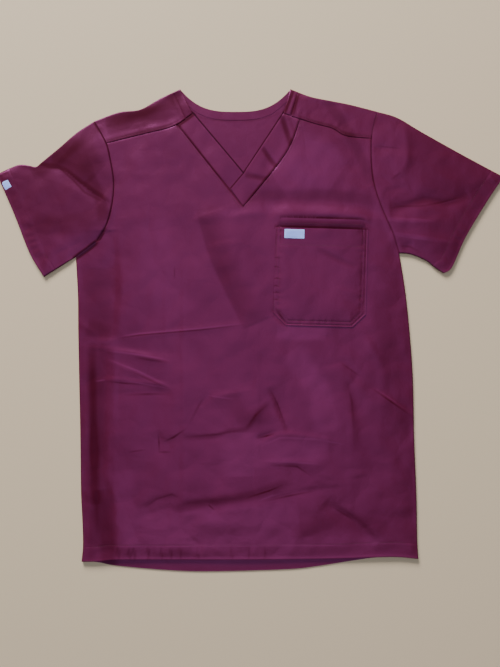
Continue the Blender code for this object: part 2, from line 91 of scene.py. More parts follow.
def makeStops(length, step, lines=(), edges=(True, True)):
    # shares of a length, a step apart, closer at its ends and at the lines sewn across it
    near = (0.5, 1.2, 2.2)
    marks = {0.0, length}
    marks |= {e for e in near if edges[0]} | {length - e for e in near if edges[1]}
    for at in lines:
        marks |= {at % length + off for off in (-1.2, -0.5, 0.0, 0.5, 1.2)}
    marks = sorted(m for m in marks if 0 <= m <= length)
    found = [marks[0]]
    for a, b in zip(marks, marks[1:]):
        found += list(np.linspace(a, b, max(1, round((b - a) / step)) + 1)[1:])
    return np.array(found) / length


def shifted(line, by):  # a line moved to its left-hand side
    ahead = np.gradient(line, axis=0)
    ahead /= np.linalg.norm(ahead, axis=1)[:, None]
    return line + by * np.stack([-ahead[:, 1], ahead[:, 0]], axis=1)


def patch(bottom, top, left, right):  # rows of points between four lines
    u = ((shares(bottom) + shares(top)) / 2)[None, :, None]
    v = ((shares(left) + shares(right)) / 2)[:, None, None]
    below = bottom[0] * (1 - u) + bottom[-1] * u
    above = top[0] * (1 - u) + top[-1] * u
    corners = below * (1 - v) + above * v
    return bottom[None] * (1 - v) + top[None] * v + left[:, None] * (1 - u) + right[:, None] * u - corners


def nearest(points, line):
    # for each point: its distance to a line, which side of it, and how far along the line
    flat = points.reshape(-1, 2)
    away = np.full(len(flat), 1e9)
    side = np.ones(len(flat))
    along = np.zeros(len(flat))
    for a, b, done in zip(line, line[1:], reach(line)):
        leg = b - a
        size = np.hypot(*leg)
        t = np.clip((flat - a) @ leg / size**2, 0, 1)
        off = flat - a - t[:, None] * leg
        gap = np.hypot(off[:, 0], off[:, 1])
        closer = gap < away
        away[closer] = gap[closer]
        side[closer] = np.sign(leg[0] * off[:, 1] - leg[1] * off[:, 0])[closer]
        along[closer] = done + t[closer] * size
    return [found.reshape(points.shape[:-1]) for found in (away, side, along)]


def distance(points, *lines):  # to the nearest of some lines
    return np.min([nearest(points, line)[0] for line in lines], axis=0)


def bell(away, width, power=2.0):  # 1 at no distance, dying out past the width
    return np.exp(-(np.abs(away / width) ** power))


def until(away, edge, width):  # 1 up to an edge and 0 past it
    return 0.5 - 0.5 * np.tanh((away - edge) / width)


# The garment's outline
leftSide = smoothed([(-248, -340), (-246, -316), (-247, -279), (-249, -235), (-250, -150),
                     (-251.5, -80), (-253, 0), (-253.5, 50), (-256.5, 107.5)])
rightSide = smoothed([(247, -336), (245.5, -309), (245, -279), (244, -235), (241, -160),
                      (239, -70), (234, 0), (227.5, 60), (219, 113)])
leftWedge = np.array([(-256.5, 107.5), (-224, 131)], float)
leftArmhole = smoothed([(-224, 131), (-208, 160), (-201, 192), (-200, 221), (-205, 252), (-211, 275)])
rightArmhole = smoothed([(219, 113), (209, 141), (197, 168), (185, 199), (178, 232), (177, 282)])
leftArmholeTop = smoothed([(-211, 275), (-219, 290), (-229, 307)])
rightArmholeTop = smoothed([(177, 282), (180, 300), (186, 321)])
frontHem = smoothed([(-248, -340), (-223, -339.5), (-195, -337), (-111, -337), (-44, -337), (56, -336.5),
                     (98, -336), (140, -335), (178, -333.5), (216, -333), (247, -336)])
backHem = smoothed([(-248, -340), (-223, -342), (-195, -347), (-111, -354), (-44, -355), (56, -352),
                    (98, -347.5), (140, -341), (178, -335.5), (216, -333), (247, -336)])
leftShoulder = smoothed([(-103, 354), (-133, 340), (-162, 324), (-193, 320), (-229, 307)])
rightShoulder = smoothed([(59, 354), (88, 343), (117, 337), (147, 331), (186, 321)])
leftYokeSeam = smoothed([(-107, 303), (-125, 296), (-168, 286), (-211, 275)])
rightYokeSeam = smoothed([(72, 311), (96, 303.5), (121, 297), (141, 286), (177, 282)])
leftSleeveFold = smoothed([(-229, 307), (-255, 290), (-281, 267.5), (-306, 247), (-315, 240),
                           (-326, 242), (-339, 243), (-351, 239), (-372, 229)])
rightSleeveFold = smoothed([(186, 321), (216, 312), (250, 292), (308, 259.5), (372, 225)])
leftUnderarm = np.array([(-224, 131), (-256.5, 107.5), (-303, 78)], float)
leftBackSeam, rightBackSeam = (-200.5, 203.0), (184.0, 212.0)  # where the back meets the yoke
rightUnderarm = smoothed([(219, 113), (236, 111), (258, 102), (272, 91), (284, 83.5)])
leftCuff = smoothed([(-372, 229), (-346, 169), (-324, 113), (-303, 78)])
rightCuff = smoothed([(372, 225), (349, 191), (316, 136), (296, 92), (284, 83.5)])

# The V neckband: where it meets the yoke, where its edges cross and where it ends
bandLeftInner, bandLeftOuter = (-85.0, 318.0), (-107.0, 303.0)
bandRightInner, bandRightOuter = (49.0, 318.0), (72.0, 311.0)
bandCrossing, vTip = (-10.0, 229.0), (-11.0, 182.0)
leftBandEnd, rightBandEnd = (9.0, 206.0), (-29.0, 208.0)
leftV = np.array([bandLeftOuter, vTip])
rightV = smoothed([vTip, (38, 241), (60, 276), bandRightOuter])

silhouette = [leftSide, rightSide, backHem, leftUnderarm[1:], rightUnderarm, leftCuff, rightCuff,
              leftSleeveFold, rightSleeveFold, leftShoulder, rightShoulder]

# The largest folds of the upper layer: height, its width to the left and right of its path, and the path
mainFolds = [
    (-2.3, 30, 9, [(-206, -336), (-208, -260), (-219, -200), (-216, -120), (-213, -28)]),
    (1.4, 10, 24, [(-240, -338), (-239, -250), (-243, -170), (-242, -90), (-240, -24)]),
    (-2.0, 40, 6, [(-201, -14), (-199, 60), (-201, 146)]),
    (-1.2, 14, 7, [(-200, -24), (-150, -30), (-104, -34)]),
    (1.5, 13, 40, [(4, 8), (-14, 50), (-40, 110), (-62, 172)]),
    (-1.5, 15, 11, [(-10, 188), (60, 189), (120, 187), (184, 176)]),
    (1.0, 14, 10, [(-80, 165), (-36, 172), (20, 176)]),
    (1.5, 12, 4, [(34, 168), (60, 170.5), (100, 170), (150, 168.5), (176, 160)]),
    (0.95, 30, 10, [(-166, -256), (-133, -242), (-98, -246), (-30, -244), (12, -237), (60, -217)]),
    (1.1, 10, 24, [(-120, -275), (-40, -268), (50, -250)]),
    (0.5, 26, 6, [(-132, -158), (-98, -149), (-50, -151), (-6, -142), (28, -104)]),
    (1.3, 20, 13, [(160, -215), (152, -160), (142, -110), (128, -50)]),
    (1.1, 8, 16, [(150, -80), (195, -112), (244, -140)]),
    (-1.2, 8, 15, [(110, -252), (150, -282), (184, -314)]),
    (-0.9, 22, 26, [(-316, 240), (-277, 233), (-253, 219), (-233, 205), (-216, 192)]),
    (-1.5, 15, 10, [(205, 176), (221, 178), (256, 189), (290, 186), (322, 197)]),
    (0.8, 8, 14, [(196, 163), (240, 158), (300, 162)]),
    (0.9, 10, 14, [(206, 141), (245, 136), (305, 129)]),
    (0.9, 13, 16, [(228, 305), (229, 253), (203, 219)]),
    (-1.3, 15, 15, [(110, 333), (124, 302), (150, 262), (176, 212)]),
    (-0.5, 16, 16, [(-172, 326), (-140, 312), (-112, 309)]),
    (-1.3, 13, 13, [(-208, 146), (-234, 127), (-258, 109)]),
]

# Smaller creases, of the same columns
creases = [
    (0.75, 2.6, 6, [(-196, -13), (-102, -1), (-50, 5), (-4, 10)]),  # pressed line below the chest
    (1.0, 2.4, 6, [(-218, -29), (-170, -33), (-114, -50)]),
    (0.9, 2.4, 6, [(-216, -42), (-180, -57), (-147, -74), (-114, -86)]),
    (0.8, 2.4, 4, [(-228, -76), (-200, -72), (-150, -77), (-118, -79)]),
    (-0.6, 4, 8, [(-202, -93), (-160, -91), (-118, -90)]),
    (0.7, 3, 6, [(-254, 12), (-238, 2), (-222, -10)]),
    (-0.8, 3, 5, [(-135, -184), (-134, -166), (-136, -148)]),
    (-0.5, 4, 9, [(-130, -166), (-112, -160), (-96, -148)]),
    (-0.35, 3.5, 10, [(-95, -159), (-53, -155), (-30, -151), (-4, -145)]),
    (-0.3, 4, 6, [(-8, -146), (12, -130), (30, -106)]),
    (-1.5, 3, 7, [(56, -150), (45, -122), (38, -104), (28, -84)]),
    (-0.8, 3, 6, [(4, -160), (20, -155), (40, -149)]),
    (0.9, 3, 8, [(8, -172), (42, -153), (90, -156), (140, -165)]),
    (0.7, 3, 8, [(12, -194), (70, -193), (104, -197)]),
    (-0.7, 4, 7, [(30, -199), (64, -200), (96, -218)]),
    (0.7, 3, 7, [(-70, -103), (-36, -94), (0, -88)]),
    (-0.7, 3, 5, [(-74, -112), (-66, -102), (-58, -97)]),
    (-0.9, 5, 10, [(-158, -263), (-132, -247), (-99, -246)]),
    (-0.7, 5, 13, [(-100, -258), (-60, -253), (-18, -249), (14, -240), (50, -225)]),
    (-0.7, 4, 8, [(16, -252), (70, -238), (140, -229)]),
    (-0.6, 4, 8, [(-154, -272), (-114, -258)]),
    (-0.8, 5, 7, [(-64, -272), (-54, -262), (-62, -250)]),
    (0.5, 8, 14, [(-82, -288), (-46, -280), (-20, -292)]),
    (-0.9, 4, 6, [(-90, -306), (-80, -312), (-74, -330)]),
    (-0.9, 4, 9, [(112, -254), (146, -274), (172, -294), (182, -312)]),
    (-0.5, 6, 8, [(163, -172), (153, -126), (140, -70)]),
    (-0.8, 4, 7, [(133, -42), (146, -54), (160, -72)]),
    (1.3, 2.8, 7, [(176, -86), (206, -104), (243, -129)]),
    (0.6, 4, 8, [(160, 6), (180, -28), (202, -68)]),
    (0.5, 2.4, 4, [(-99, -286), (-98, -100), (-99, 120)]),  # pressed by folding
    (0.5, 2.4, 4, [(10, -300), (10, -120), (9, 8)]),
    (0.35, 3, 2.2, [(-199, -290), (-198, -60), (-197, 20), (-198, 150)]),
    (0.3, 3, 3, [(146, -290), (147, -120), (146, 10)]),
    (0.3, 2.5, 4, [(-124, -60), (-124, 20), (-125, 140)]),
    (0.6, 4, 9, [(-64, 120), (-30, 128), (0, 126)]),
    (-0.5, 5, 8, [(-176, 196), (-150, 150), (-138, 90)]),
    (0.5, 6, 10, [(-190, 236), (-160, 226), (-120, 230)]),
    (0.7, 4, 8, [(-36, 162), (-8, 170), (26, 172)]),  # below the tip of the V
    (-0.8, 3, 8, [(98, 119), (132, 102), (156, 92)]),  # on the pocket
    (-0.8, 3, 5, [(34, 34), (44, 18), (57, 6)]),
    (0.9, 3, 5, [(30, 24), (40, 10), (52, 0)]),
    (0.5, 4, 8, [(120, 62), (150, 54), (168, 60)]),
    (-0.9, 3, 4, [(47, 312), (54, 292), (60, 272)]),  # on the right half of the neckband
    (-0.8, 3, 4, [(56, 318), (64, 300), (70, 286)]),
    (-0.8, 3, 4, [(20, 266), (30, 252), (40, 238)]),
    (-0.7, 3, 4, [(-6, 227), (8, 224), (26, 221)]),
    (-0.55, 4, 6, [(-314, 241), (-278, 236), (-258, 221), (-240, 204), (-204, 181)]),  # left sleeve
    (0.25, 5, 9, [(-300, 222), (-268, 212), (-236, 190)]),
    (-0.6, 6, 10, [(-330, 150), (-300, 140), (-262, 148)]),
    (-0.5, 5, 8, [(-290, 110), (-262, 122), (-236, 142)]),
    (0.5, 5, 8, [(-232, 288), (-226, 262), (-214, 240)]),
    (-0.9, 5, 6, [(201, 180), (222, 181), (255, 192), (288, 187), (320, 199)]),  # right sleeve
    (0.5, 3.5, 9, [(200, 164), (236, 160), (274, 160)]),
    (0.45, 3.5, 8, [(206, 142), (250, 136), (304, 127)]),
    (-0.7, 4, 6, [(194, 199), (210, 206), (230, 211)]),
    (0.7, 6, 4, [(226, 300), (229, 246), (206, 220)]),
    (-0.6, 3, 6, [(176, 270), (196, 267), (222, 266)]),
    (-0.7, 5, 5, [(226, 118), (232, 124), (240, 126)]),
    (0.5, 6, 8, [(250, 250), (280, 226), (318, 214)]),
]

# Painted shade (below 0, which also takes the sheen away) and painted highlight (above 0), in bands where
# folds, seams, the underarm and the pocket's mouths are shaded or lit: how much, and the columns above
paintedShadingBands = [
    (-0.6, 14, 12, [(-226, -20), (-225, -80), (-226, -150), (-230, -256)]),
    (-0.5, 7, 6, [(-234, -18), (-233, -90), (-230, -170), (-229, -250), (-232, -340)]),
    (-0.7, 14, 12, [(-219, -234), (-215, -285), (-210, -325), (-208, -366)]),
    (-0.4, 22, 22, [(-224, -16), (-223, 40), (-221, 92)]),
    (-0.3, 9, 8, [(-8, 196), (60, 198), (120, 197), (186, 189)]),
    (0.15, 7, 6, [(-84, 168), (-20, 172), (60, 178), (196, 168)]),
    (0.4, 34, 34, [(40, 215), (90, 245), (130, 225)]),
    (-0.45, 8, 8, [(112, 338), (145, 288), (182, 210)]),
    (-0.38, 30, 4, [(-76, 178), (-55, 104), (-6, 2)]),
    (0.15, 30, 30, [(-150, 160), (-130, 80), (-100, 20)]),
    (-0.35, 8, 7, [(-114, -264), (-62, -252), (-24, -247), (6, -241), (54, -224)]),
    (-0.3, 4, 3.5, [(-98, -158), (-53, -156), (-30, -148), (-5, -144), (12, -120), (28, -106)]),
    (-0.25, 3, 3, [(30, -88), (42, -116), (55, -150)]),
    (-0.2, 4, 4, [(98, 119), (128, 103), (156, 92)]),
    (-0.25, 12, 12, [(-30, -90), (-8, -130), (30, -118)]),
    (-0.2, 5, 5, [(141, -74), (153, -120), (156, -178)]),
    (0.4, 26, 24, [(-16, -150), (-15, -215)]),
    (0.55, 26, 25, [(-186, -290), (-60, -292), (72, -278)]),
    (-0.3, 12, 12, [(60, -300), (120, -280), (200, -290)]),
    (-0.3, 16, 16, [(190, 60), (205, -40), (215, -140)]),
    (0.3, 18, 18, [(60, -30), (100, -90), (112, -150)]),
    (-0.25, 30, 24, [(-270, 262), (-242, 238), (-210, 196)]),
    (-0.35, 16, 16, [(-326, 150), (-260, 156), (-206, 172)]),
    (-0.3, 40, 50, [(-380, 215), (-300, 200), (-225, 225)]),
    (-0.6, 16, 16, [(-212, 300), (-160, 310), (-108, 328)]),
    # painted shadow in the slot above the pocket's mouths
    (-1.0, 3.2, 0.3, [(42, 164.5), (60, 164.2), (110, 162.8), (168, 161.2)]),  # above the pocket's mouths
    (-0.45, 4.5, 4.5, [(38, 156), (100, 155.5), (170, 153.5)]),
    (-1.1, 3.4, 0.3, [(34, 150.5), (60, 149.7), (130, 147.8), (175, 146.5)]),
    # painted shade along the armhole seams
    (-1.6, 1.7, 0.3, [(-223, 128), (-208, 160), (-201, 192), (-200, 221),
                      (-205, 252), (-211, 275), (-230, 308)]),
    (-1.0, 0.3, 1.8, [(219, 111), (209, 141), (197, 168), (185, 199), (178, 232), (177, 282), (187, 322)]),
    (-0.6, 3.5, 3.5, [(-104, 305), (-125, 297), (-168, 287), (-213, 275)]),
    (-0.5, 3, 3, [(70, 312), (96, 304), (121, 298), (141, 287), (179, 282)]),
    # painted shade beside the neckband
    (-0.9, 1.6, 1.6, [(-108, 304), (-60, 243), (-9, 179)]),  # beside the neckband
    (-0.9, 1.6, 1.6, [(-12, 180), (38, 241), (60, 276), (73, 313)]),
    (-0.35, 0.4, 2.2, [(-92, 322), (-60, 311), (-22, 309), (16, 311), (48, 322)]),
    (0.3, 2.6, 2.6, [(200, 163), (236, 160), (272, 160)]),
    (0.25, 2.6, 2.6, [(210, 141), (250, 136), (300, 128)]),
    (-0.5, 5, 0.6, [(-318, 243), (-278, 236), (-256, 221), (-236, 206), (-206, 186)]),
    # painted shade between the puckers of the hem
    *((-0.5, 2.2, 2.6, [(x, -317), (x + 2, -337)])  # between the puckers of the hem
      for x in (-194, -178, -171, -150, -131, -117, -103, -78, -28, -3, 20)),
    # painted shadow in the underarm
    (-2.2, 3.5, 4, [(-260, 104), (-247, 113.5), (-235, 122), (-226, 129)]),
    (-0.9, 4, 2, [(-238, 120), (-223, 132), (-211, 149)]),
    (0.4, 20, 20, [(-200, -326), (-60, -326), (90, -325), (236, -322)]),
    (0.35, 10, 10, [(38, -4), (112, -6)]),
    (0.3, 18, 20, [(4, -180), (60, -178), (116, -172)]),
    (0.22, 15, 17, [(-185, -205), (-184, -262), (-183, -320)]),
    (-0.3, 12, 12, [(-240, 4), (-204, -4)]),
    (-0.5, 11, 11, [(-120, 356), (-105, 337), (-90, 310)]),
    (-0.35, 12, 9, [(-240, 222), (-221, 196), (-214, 160)]),
    (-0.38, 26, 20, [(-290, 262), (-250, 252), (-222, 230)]),
    (-0.45, 12, 12, [(-322, 232), (-292, 248), (-258, 274), (-222, 300)]),
    (-0.4, 12, 12, [(-232, 300), (-186, 314), (-140, 330), (-102, 346)]),
    (-1.2, 3.2, 3.2, [(-108, 298), (-95, 307.5), (-81, 317.5)]),
    (-1.1, 2.6, 2.6, [(64, 354), (57, 335), (49, 315)]),
    (-1.1, 2.6, 2.6, [(74, 352), (67, 335), (60.5, 314)]),
    (-0.3, 75, 42, [(262, 300), (290, 210), (300, 90)]),
    (-0.8, 4, 4, [(46, 314), (53, 292), (60, 270)]),
    (-0.7, 3, 4, [(18, 268), (28, 253), (40, 238)]),
    (-0.5, 4, 4, [(-8, 227), (8, 224), (28, 220)]),
    (-0.4, 6, 5, [(206, 178), (255, 190), (290, 187), (322, 197)]),
]

# The finest creases, which the cloth's shader draws only as lines of painted shade (below 0) and painted
# highlight (above 0): how dark or light, half their width, and the path
paintedCreaseLines = {
    "clothFront": [
        (0.56, 2.2, [(-222, -29), (-165, -36), (-117, -44)]),
        (-0.43, 3.4, [(-170, -40), (-117, -48)]),
        (0.56, 2.1, [(-210, -42.5), (-165, -60), (-117, -83)]),
        (-0.43, 2.5, [(-180, -58), (-117, -87)]),
        (0.56, 2.1, [(-228, -75.5), (-212, -73)]),
        (-0.72, 2.2, [(-212, -75), (-185, -78), (-150, -80.5)]),
        (0.37, 2.0, [(-185, -74), (-117, -86)]),
        (-0.58, 2.9, [(-187, -95.5), (-150, -94), (-117, -94)]),
        (-0.94, 2.5, [(-128, -164.5), (-112, -157), (-92, -143)]),
        (-0.42, 3.1, [(-97, -157), (-50, -153), (-7, -145.5)]),
        (-0.36, 3.1, [(-92, -143), (-75, -110), (-67, -98)]),
        (-0.72, 2.2, [(-135, -150), (-134, -165), (-133.5, -181)]),
        (-0.43, 2.2, [(-180, -179), (-152, -175.5)]),
        (-0.5, 2.2, [(-135, -179), (-115, -179)]),
        (0.37, 2.0, [(-67, -95), (-42, -99), (-20, -101.5)]),
        (-0.65, 2.1, [(-62, -255.5), (-52, -264.5)]),
        (-0.43, 2.7, [(-157, -261), (-137, -248), (-115, -240.5), (-102, -247)]),
        (-0.5, 2.1, [(29.5, -87.5), (40, -109), (54.5, -148.5)]),
        (-0.35, 2.9, [(-8, -148.5), (8, -124.5), (27, -107.5)]),
        (-0.86, 2.2, [(8, -159), (24, -155.5), (37.5, -151)]),
        (0.56, 2.2, [(11, -172.5), (43, -158), (53, -158), (98, -160.5), (143, -168.5)]),
        (0.5, 2.1, [(19, -192), (60, -194), (104, -196.5)]),
        (-0.65, 2.2, [(29.5, -197.5), (69, -200.5), (90.5, -215)]),
        (-0.79, 2.3, [(-8, -247), (27, -236), (48, -227)]),
        (0.5, 2.2, [(11, -251), (32, -243), (72, -233.5)]),
        (-0.72, 2.3, [(21.5, -251), (58.5, -243), (98.5, -235)]),
        (-0.36, 3.1, [(141, -71.5), (149, -106), (151.5, -170)]),
        (-0.43, 2.3, [(133, -48), (162, -69)]),
        (0.5, 2.1, [(180, -83), (206, -101), (239, -124)]),
        (-0.79, 2.0, [(178, -85.5), (204.5, -104), (239, -128)]),
        (-0.43, 2.3, [(119.5, -259), (151.5, -279)]),
        (0.5, 1.8, [(-195, -10), (-162, -5), (-72, 2.5), (-7, 10)]),
        (-0.58, 1.8, [(-195, -12.5), (-162, -7.5), (-72, 0), (-7, 7.5)]),
        (-0.36, 2.0, [(-111, 94), (-111, 74)]),
    ],
    "clothYoke": [
        (-2.0, 2.6, [(-90, 324), (-84.3, 318.6), (-9.3, 229.6), (-8, 222)]),
        (-1.6, 2.4, [(-11, 222), (-10.7, 229.5), (48.2, 318.6), (52, 325)]),
    ],
    "clothNeckBandLeft": [(-1.2, 1.9, [(-5, 236), (-10, 230), (-28, 209), (-34, 202)])],
    "clothNeckBandRight": [(-1.2, 1.9, [(-5, 236), (-10, 230), (-28, 209), (-34, 202)])],
    "clothPocketFront": [
        *((-0.6, 1.8, [(31 + start, y), (37 + start, y + 1), (45 + start, y - 1)])
          for start, y in ((1, 105.5), (0, 92), (2, 75), (0, 64), (1, 54.5), (1, 44))),
        (-0.7, 2.6, [(36, 33), (44, 22), (53, 11)]),
        (0.5, 2.4, [(32, 30), (41, 18), (50, 8)]),
    ],
    "clothSleeveLeft": [
        (-0.36, 2.9, [(-312, 238.5), (-280, 238), (-261, 221), (-243, 202), (-209, 184)]),
    ],
    "clothSleeveRight": [
        (-0.36, 2.6, [(204, 178), (221, 181.5), (250, 181.5), (280, 187), (313, 196)]),
        (0.31, 1.8, [(270, 183), (313, 193.5)]),
        (0.37, 2.1, [(206, 163.5), (236, 162.5), (265, 161)]),
        (0.31, 2.1, [(206, 139.5), (245, 134), (280, 128)]),
        (-0.36, 1.8, [(184, 270), (221, 266)]),
        (-0.36, 2.9, [(206, 220), (221, 231)]),
        (-0.5, 2.6, [(218, 124), (235, 122), (252, 112)]),
    ],
}

ripple = {
    "slope": 0.0022,  # a wave's height by its length
    "sway": 1.3,  # its crest sways by this, in radians
    "swayLength": 1.7,  # over this many wave lengths
}
rippleRandom = np.random.default_rng(11)
ripples = [  # direction, length and start of each low wave of the cloth
    (rippleRandom.uniform(0, math.pi), length, rippleRandom.uniform(0, 2 * math.pi))
    for length in (118, 96, 81, 67, 52, 45, 37, 31, 26, 22)
]


def creaseHeight(points, rows, power, taperPower):
    height = np.zeros(points.shape[:-1])
    for rise, leftWidth, rightWidth, path in rows:
        line = smoothed(path, 5)
        spreadOut = 3.2 * max(leftWidth, rightWidth)
        low, high = line.min(0) - spreadOut, line.max(0) + spreadOut
        near = ((points > low) & (points < high)).all(-1)
        if not near.any():
            continue
        away, side, along = nearest(points[near], line)
        share = along / reach(line)[-1]
        taper = (4 * share * (1 - share)) ** taperPower
        width = np.where(side > 0, leftWidth, rightWidth)
        height[near] += rise * taper * bell(away, width, power)
    return height


def rippleHeight(points):
    x, y = points[..., 0], points[..., 1]
    height = np.zeros(x.shape)
    for turn, length, start in ripples:
        across = (x * math.cos(turn) + y * math.sin(turn)) * 2 * math.pi / length
        along = (y * math.cos(turn) - x * math.sin(turn)) * 2 * math.pi / (ripple["swayLength"] * length)
        wave = np.sin(across + start + ripple["sway"] * np.sin(along + 2 * start))
        height += ripple["slope"] * length * wave
    return height


def clothTop(points):  # the height of the upper layer above some points of the floor
    inside = distance(points, *silhouette)
    height = garment["edgeTop"] + garment["loft"] * (1 - bell(inside, garment["loftWidth"], 1.5))
    folds = creaseHeight(points, mainFolds, *garment["foldShape"])
    height += folds * (1 - bell(inside, garment["foldFade"]))
    height = np.maximum(height, garment["lowestTop"])
    fine = creaseHeight(points, creases, *garment["creaseShape"]) + rippleHeight(points)
    return height + fine * (1 - bell(inside, garment["creaseFade"]))


def rolledDown(height, inside, radius=garment["rollRadius"], floor=0.5):
    # a top that turns down to a share of its height along an edge
    share = np.clip(inside / radius, 0, 1)
    return height * (floor + (1 - floor) * np.sqrt(1 - (1 - share) ** 2))


def tucked(points, seams, depth, width=3.0):  # how far the under side of a seam goes down
    return depth * bell(distance(points, *seams), width)


def puckers(points, line, pitch, size, offset, width):
    # the gathers that a line of stitches pulls into the cloth beside it
    away, _, along = nearest(points, line)
    wave = np.sin(along * 2 * math.pi / pitch + 1.9 * np.sin(along * 2 * math.pi / (4.3 * pitch)))
    uneven = 0.6 + 0.4 * np.sin(along * 2 * math.pi / (7.7 * pitch) + 1.0)
    return size * wave * uneven * bell(away - offset, width)


def stitchedIn(points, line, offset, depth=0.3, width=0.9):
    return -depth * bell(distance(points, line) - offset, width)


# Meshes

def placed(name, data):  # a new object in the scene
    made = bpy.data.objects.new(name, data)
    bpy.context.scene.collection.objects.link(made)
    return made


def meshOf(name, shape):
    mesh = bpy.data.meshes.new(name)
    shape.to_mesh(mesh)
    shape.free()
    return mesh


def makeSheet(name, points, grain, press, thickness=garment["wall"], grows=-1):
    # a wall of cloth through rows of points; a point that is nan is cut away. Grain is where the weave
    # lies; the next argument is how much lighter the edges and seams are painted, partly wear and partly
    # painted highlight; grows says on which side of the points the wall is
    rows, columns = points.shape[:2]
    grid = bmesh.new()
    bmesh.ops.create_grid(grid, x_segments=columns - 1, y_segments=rows - 1, size=1)
    grid.verts.index_update()
    grainLayer = grid.loops.layers.uv.new("grain")
    wearAndHighlightLayer = grid.verts.layers.float.new("press")
    paintedShadingLayer = grid.verts.layers.float.new("nap")
    places = (points.reshape(-1, 3) + garment["shift"]) * garment["toMetres"]
    wearAndHighlightShares = np.clip(press, 0, 1).ravel()
    # painted shade and painted highlight of the shading bands, at each point
    paintedShadings = creaseHeight(np.nan_to_num(points[..., :2].reshape(-1, 2)), paintedShadingBands, *garment["napShape"])
    grains = (grain.reshape(-1, 2) * garment["toMetres"]).tolist()
    for face in grid.faces:
        for loop in face.loops:
            loop[grainLayer].uv = grains[loop.vert.index]
    cut = []
    for vert, place, worn, nap in zip(grid.verts, places.tolist(), wearAndHighlightShares.tolist(), paintedShadings.tolist()):
        if math.isnan(place[2]):
            cut.append(vert)
        else:
            vert.co = place
            vert[wearAndHighlightLayer] = worn
            vert[paintedShadingLayer] = nap
    if cut:
        bmesh.ops.delete(grid, geom=cut, context="VERTS")
    bmesh.ops.remove_doubles(grid, verts=grid.verts, dist=0.00001)
    for edge in grid.edges:
        edge.smooth = not edge.is_boundary
    mesh = meshOf(name, grid)
    mesh.shade_smooth()
    made = placed(name, mesh)
    wall = made.modifiers.new("wall", "SOLIDIFY")
    wall.thickness = thickness * garment["toMetres"]
    wall.offset = grows
    return made


def withHeight(points, height):
    return np.concatenate([points, np.broadcast_to(height, points.shape[:-1])[..., None]], axis=-1)


stitch = {"long": 2.2, "pitch": 3.0, "wide": 0.5, "thick": 0.36, "lift": 0.04}


def makeStitches(name, seams):
    # seams are lines of (x, y, z) points; each stitch is a small closed bead, all joined in one mesh
    bead = bmesh.new()
    bmesh.ops.create_icosphere(bead, subdivisions=1, radius=0.5)
    bead.verts.index_update()
    shape = np.array([v.co for v in bead.verts])
    faces = np.array([[v.index for v in f.verts] for f in bead.faces])
    bead.free()
    found = []
    for seam in seams:
        length = reach(seam)[-1]
        count = max(1, int(length / stitch["pitch"]))
        middles = (np.arange(count) + 0.5) / count
        half = 0.5 * stitch["long"] / length
        ahead = walk(seam, np.clip(middles + half, 0, 1)) - walk(seam, np.clip(middles - half, 0, 1))
        ahead /= np.linalg.norm(ahead, axis=1)[:, None]
        across = np.cross((0, 0, 1), ahead)
        across /= np.linalg.norm(across, axis=1)[:, None]
        up = np.cross(ahead, across)
        spots = walk(seam, middles)
        beads = 0.0
        for axis, size, direction in ((0, "long", ahead), (1, "wide", across), (2, "thick", up)):
            beads = beads + shape[None, :, axis, None] * stitch[size] * direction[:, None]
        found.append((beads + spots[:, None]).reshape(-1, 3))
    places = (np.vstack(found) + garment["shift"]) * garment["toMetres"]
    count = len(places) // len(shape)
    links = (faces[None] + len(shape) * np.arange(count)[:, None, None]).reshape(-1, 3)
    mesh = bpy.data.meshes.new(name)
    mesh.from_pydata(places.tolist(), [], links.tolist())
    mesh.shade_smooth()
    mesh.materials.append(finishes["thread"])
    made = placed(name, mesh)
    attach(made, "root")
    print("made", name)


# Finishes

def feed(node, inputs):  # what each of some sockets of a node gets: a link or a fixed value
    for name, value in dict(inputs).items():
        if isinstance(value, Socket):
            value.tree.links.new(value.output, node.inputs[name])
        else:
            node.inputs[name].default_value = value


class Socket:
    # an output of a node, with which sums are written as they are read

    def __init__(self, tree, output=None):
        self.tree, self.output = tree, output

    def node(self, kind, settings=(), inputs=(), output=0):
        made = self.tree.nodes.new(kind)
        for name, value in dict(settings).items():
            setattr(made, name, value)
        feed(made, inputs)
        return Socket(self.tree, made.outputs[output])

    def math(self, operation, first, second=0.0):
        return self.node("ShaderNodeMath", {"operation": operation}, {0: first, 1: second})

    def vector(self, operation, *values, output=0):
        return self.node("ShaderNodeVectorMath", {"operation": operation}, dict(enumerate(values)), output)

    def __add__(self, other):
        return self.math("ADD", self, other)

    def __sub__(self, other):
        return self.math("SUBTRACT", self, other)

    def __rsub__(self, other):
        return self.math("SUBTRACT", other, self)

    def __mul__(self, other):
        return self.math("MULTIPLY", self, other)

    __radd__ = __add__
    __rmul__ = __mul__

    def sine(self):
        return self.math("SINE", self)

    def mix(self, low, high):  # low where this is 0, high where it is 1
        inputs = {0: self, 6: low, 7: high}
        return self.node("ShaderNodeMix", {"data_type": "RGBA", "clamp_factor": True}, inputs, 2)

    def within(self, low, high):  # no lower and no higher than these
        raised = self.math("MAXIMUM", self, low)
        return raised.math("MINIMUM", raised, high)

    def fading(self, end):  # 1 where this is 0, falling smoothly to 0 at the end
        inputs = {"Value": self, "From Min": 0.0, "From Max": end, "To Min": 1.0, "To Max": 0.0}
        return self.node("ShaderNodeMapRange", {"interpolation_type": "SMOOTHSTEP", "clamp": False}, inputs)

    def between(self, low, high):  # 0 up to low, 1 from high on
        inputs = {"Value": self, "From Min": low, "From Max": high}
        return self.node("ShaderNodeMapRange", {"clamp": True}, inputs)


def grainPlane(new, grain, turn=0.0):  # the two directions of the weave, in millimetres
    mapping = new.node("ShaderNodeMapping", inputs={0: grain, 2: (0, 0, turn), 3: (1000, 1000, 1000)})
    return [new.node("ShaderNodeSeparateXYZ", inputs={0: mapping}, output=axis) for axis in (0, 1)]


def newMaterial(name):
    material = bpy.data.materials.new(name)
    material.use_nodes = True
    shader = material.node_tree.nodes["Principled BSDF"]
    return material, shader, Socket(material.node_tree)


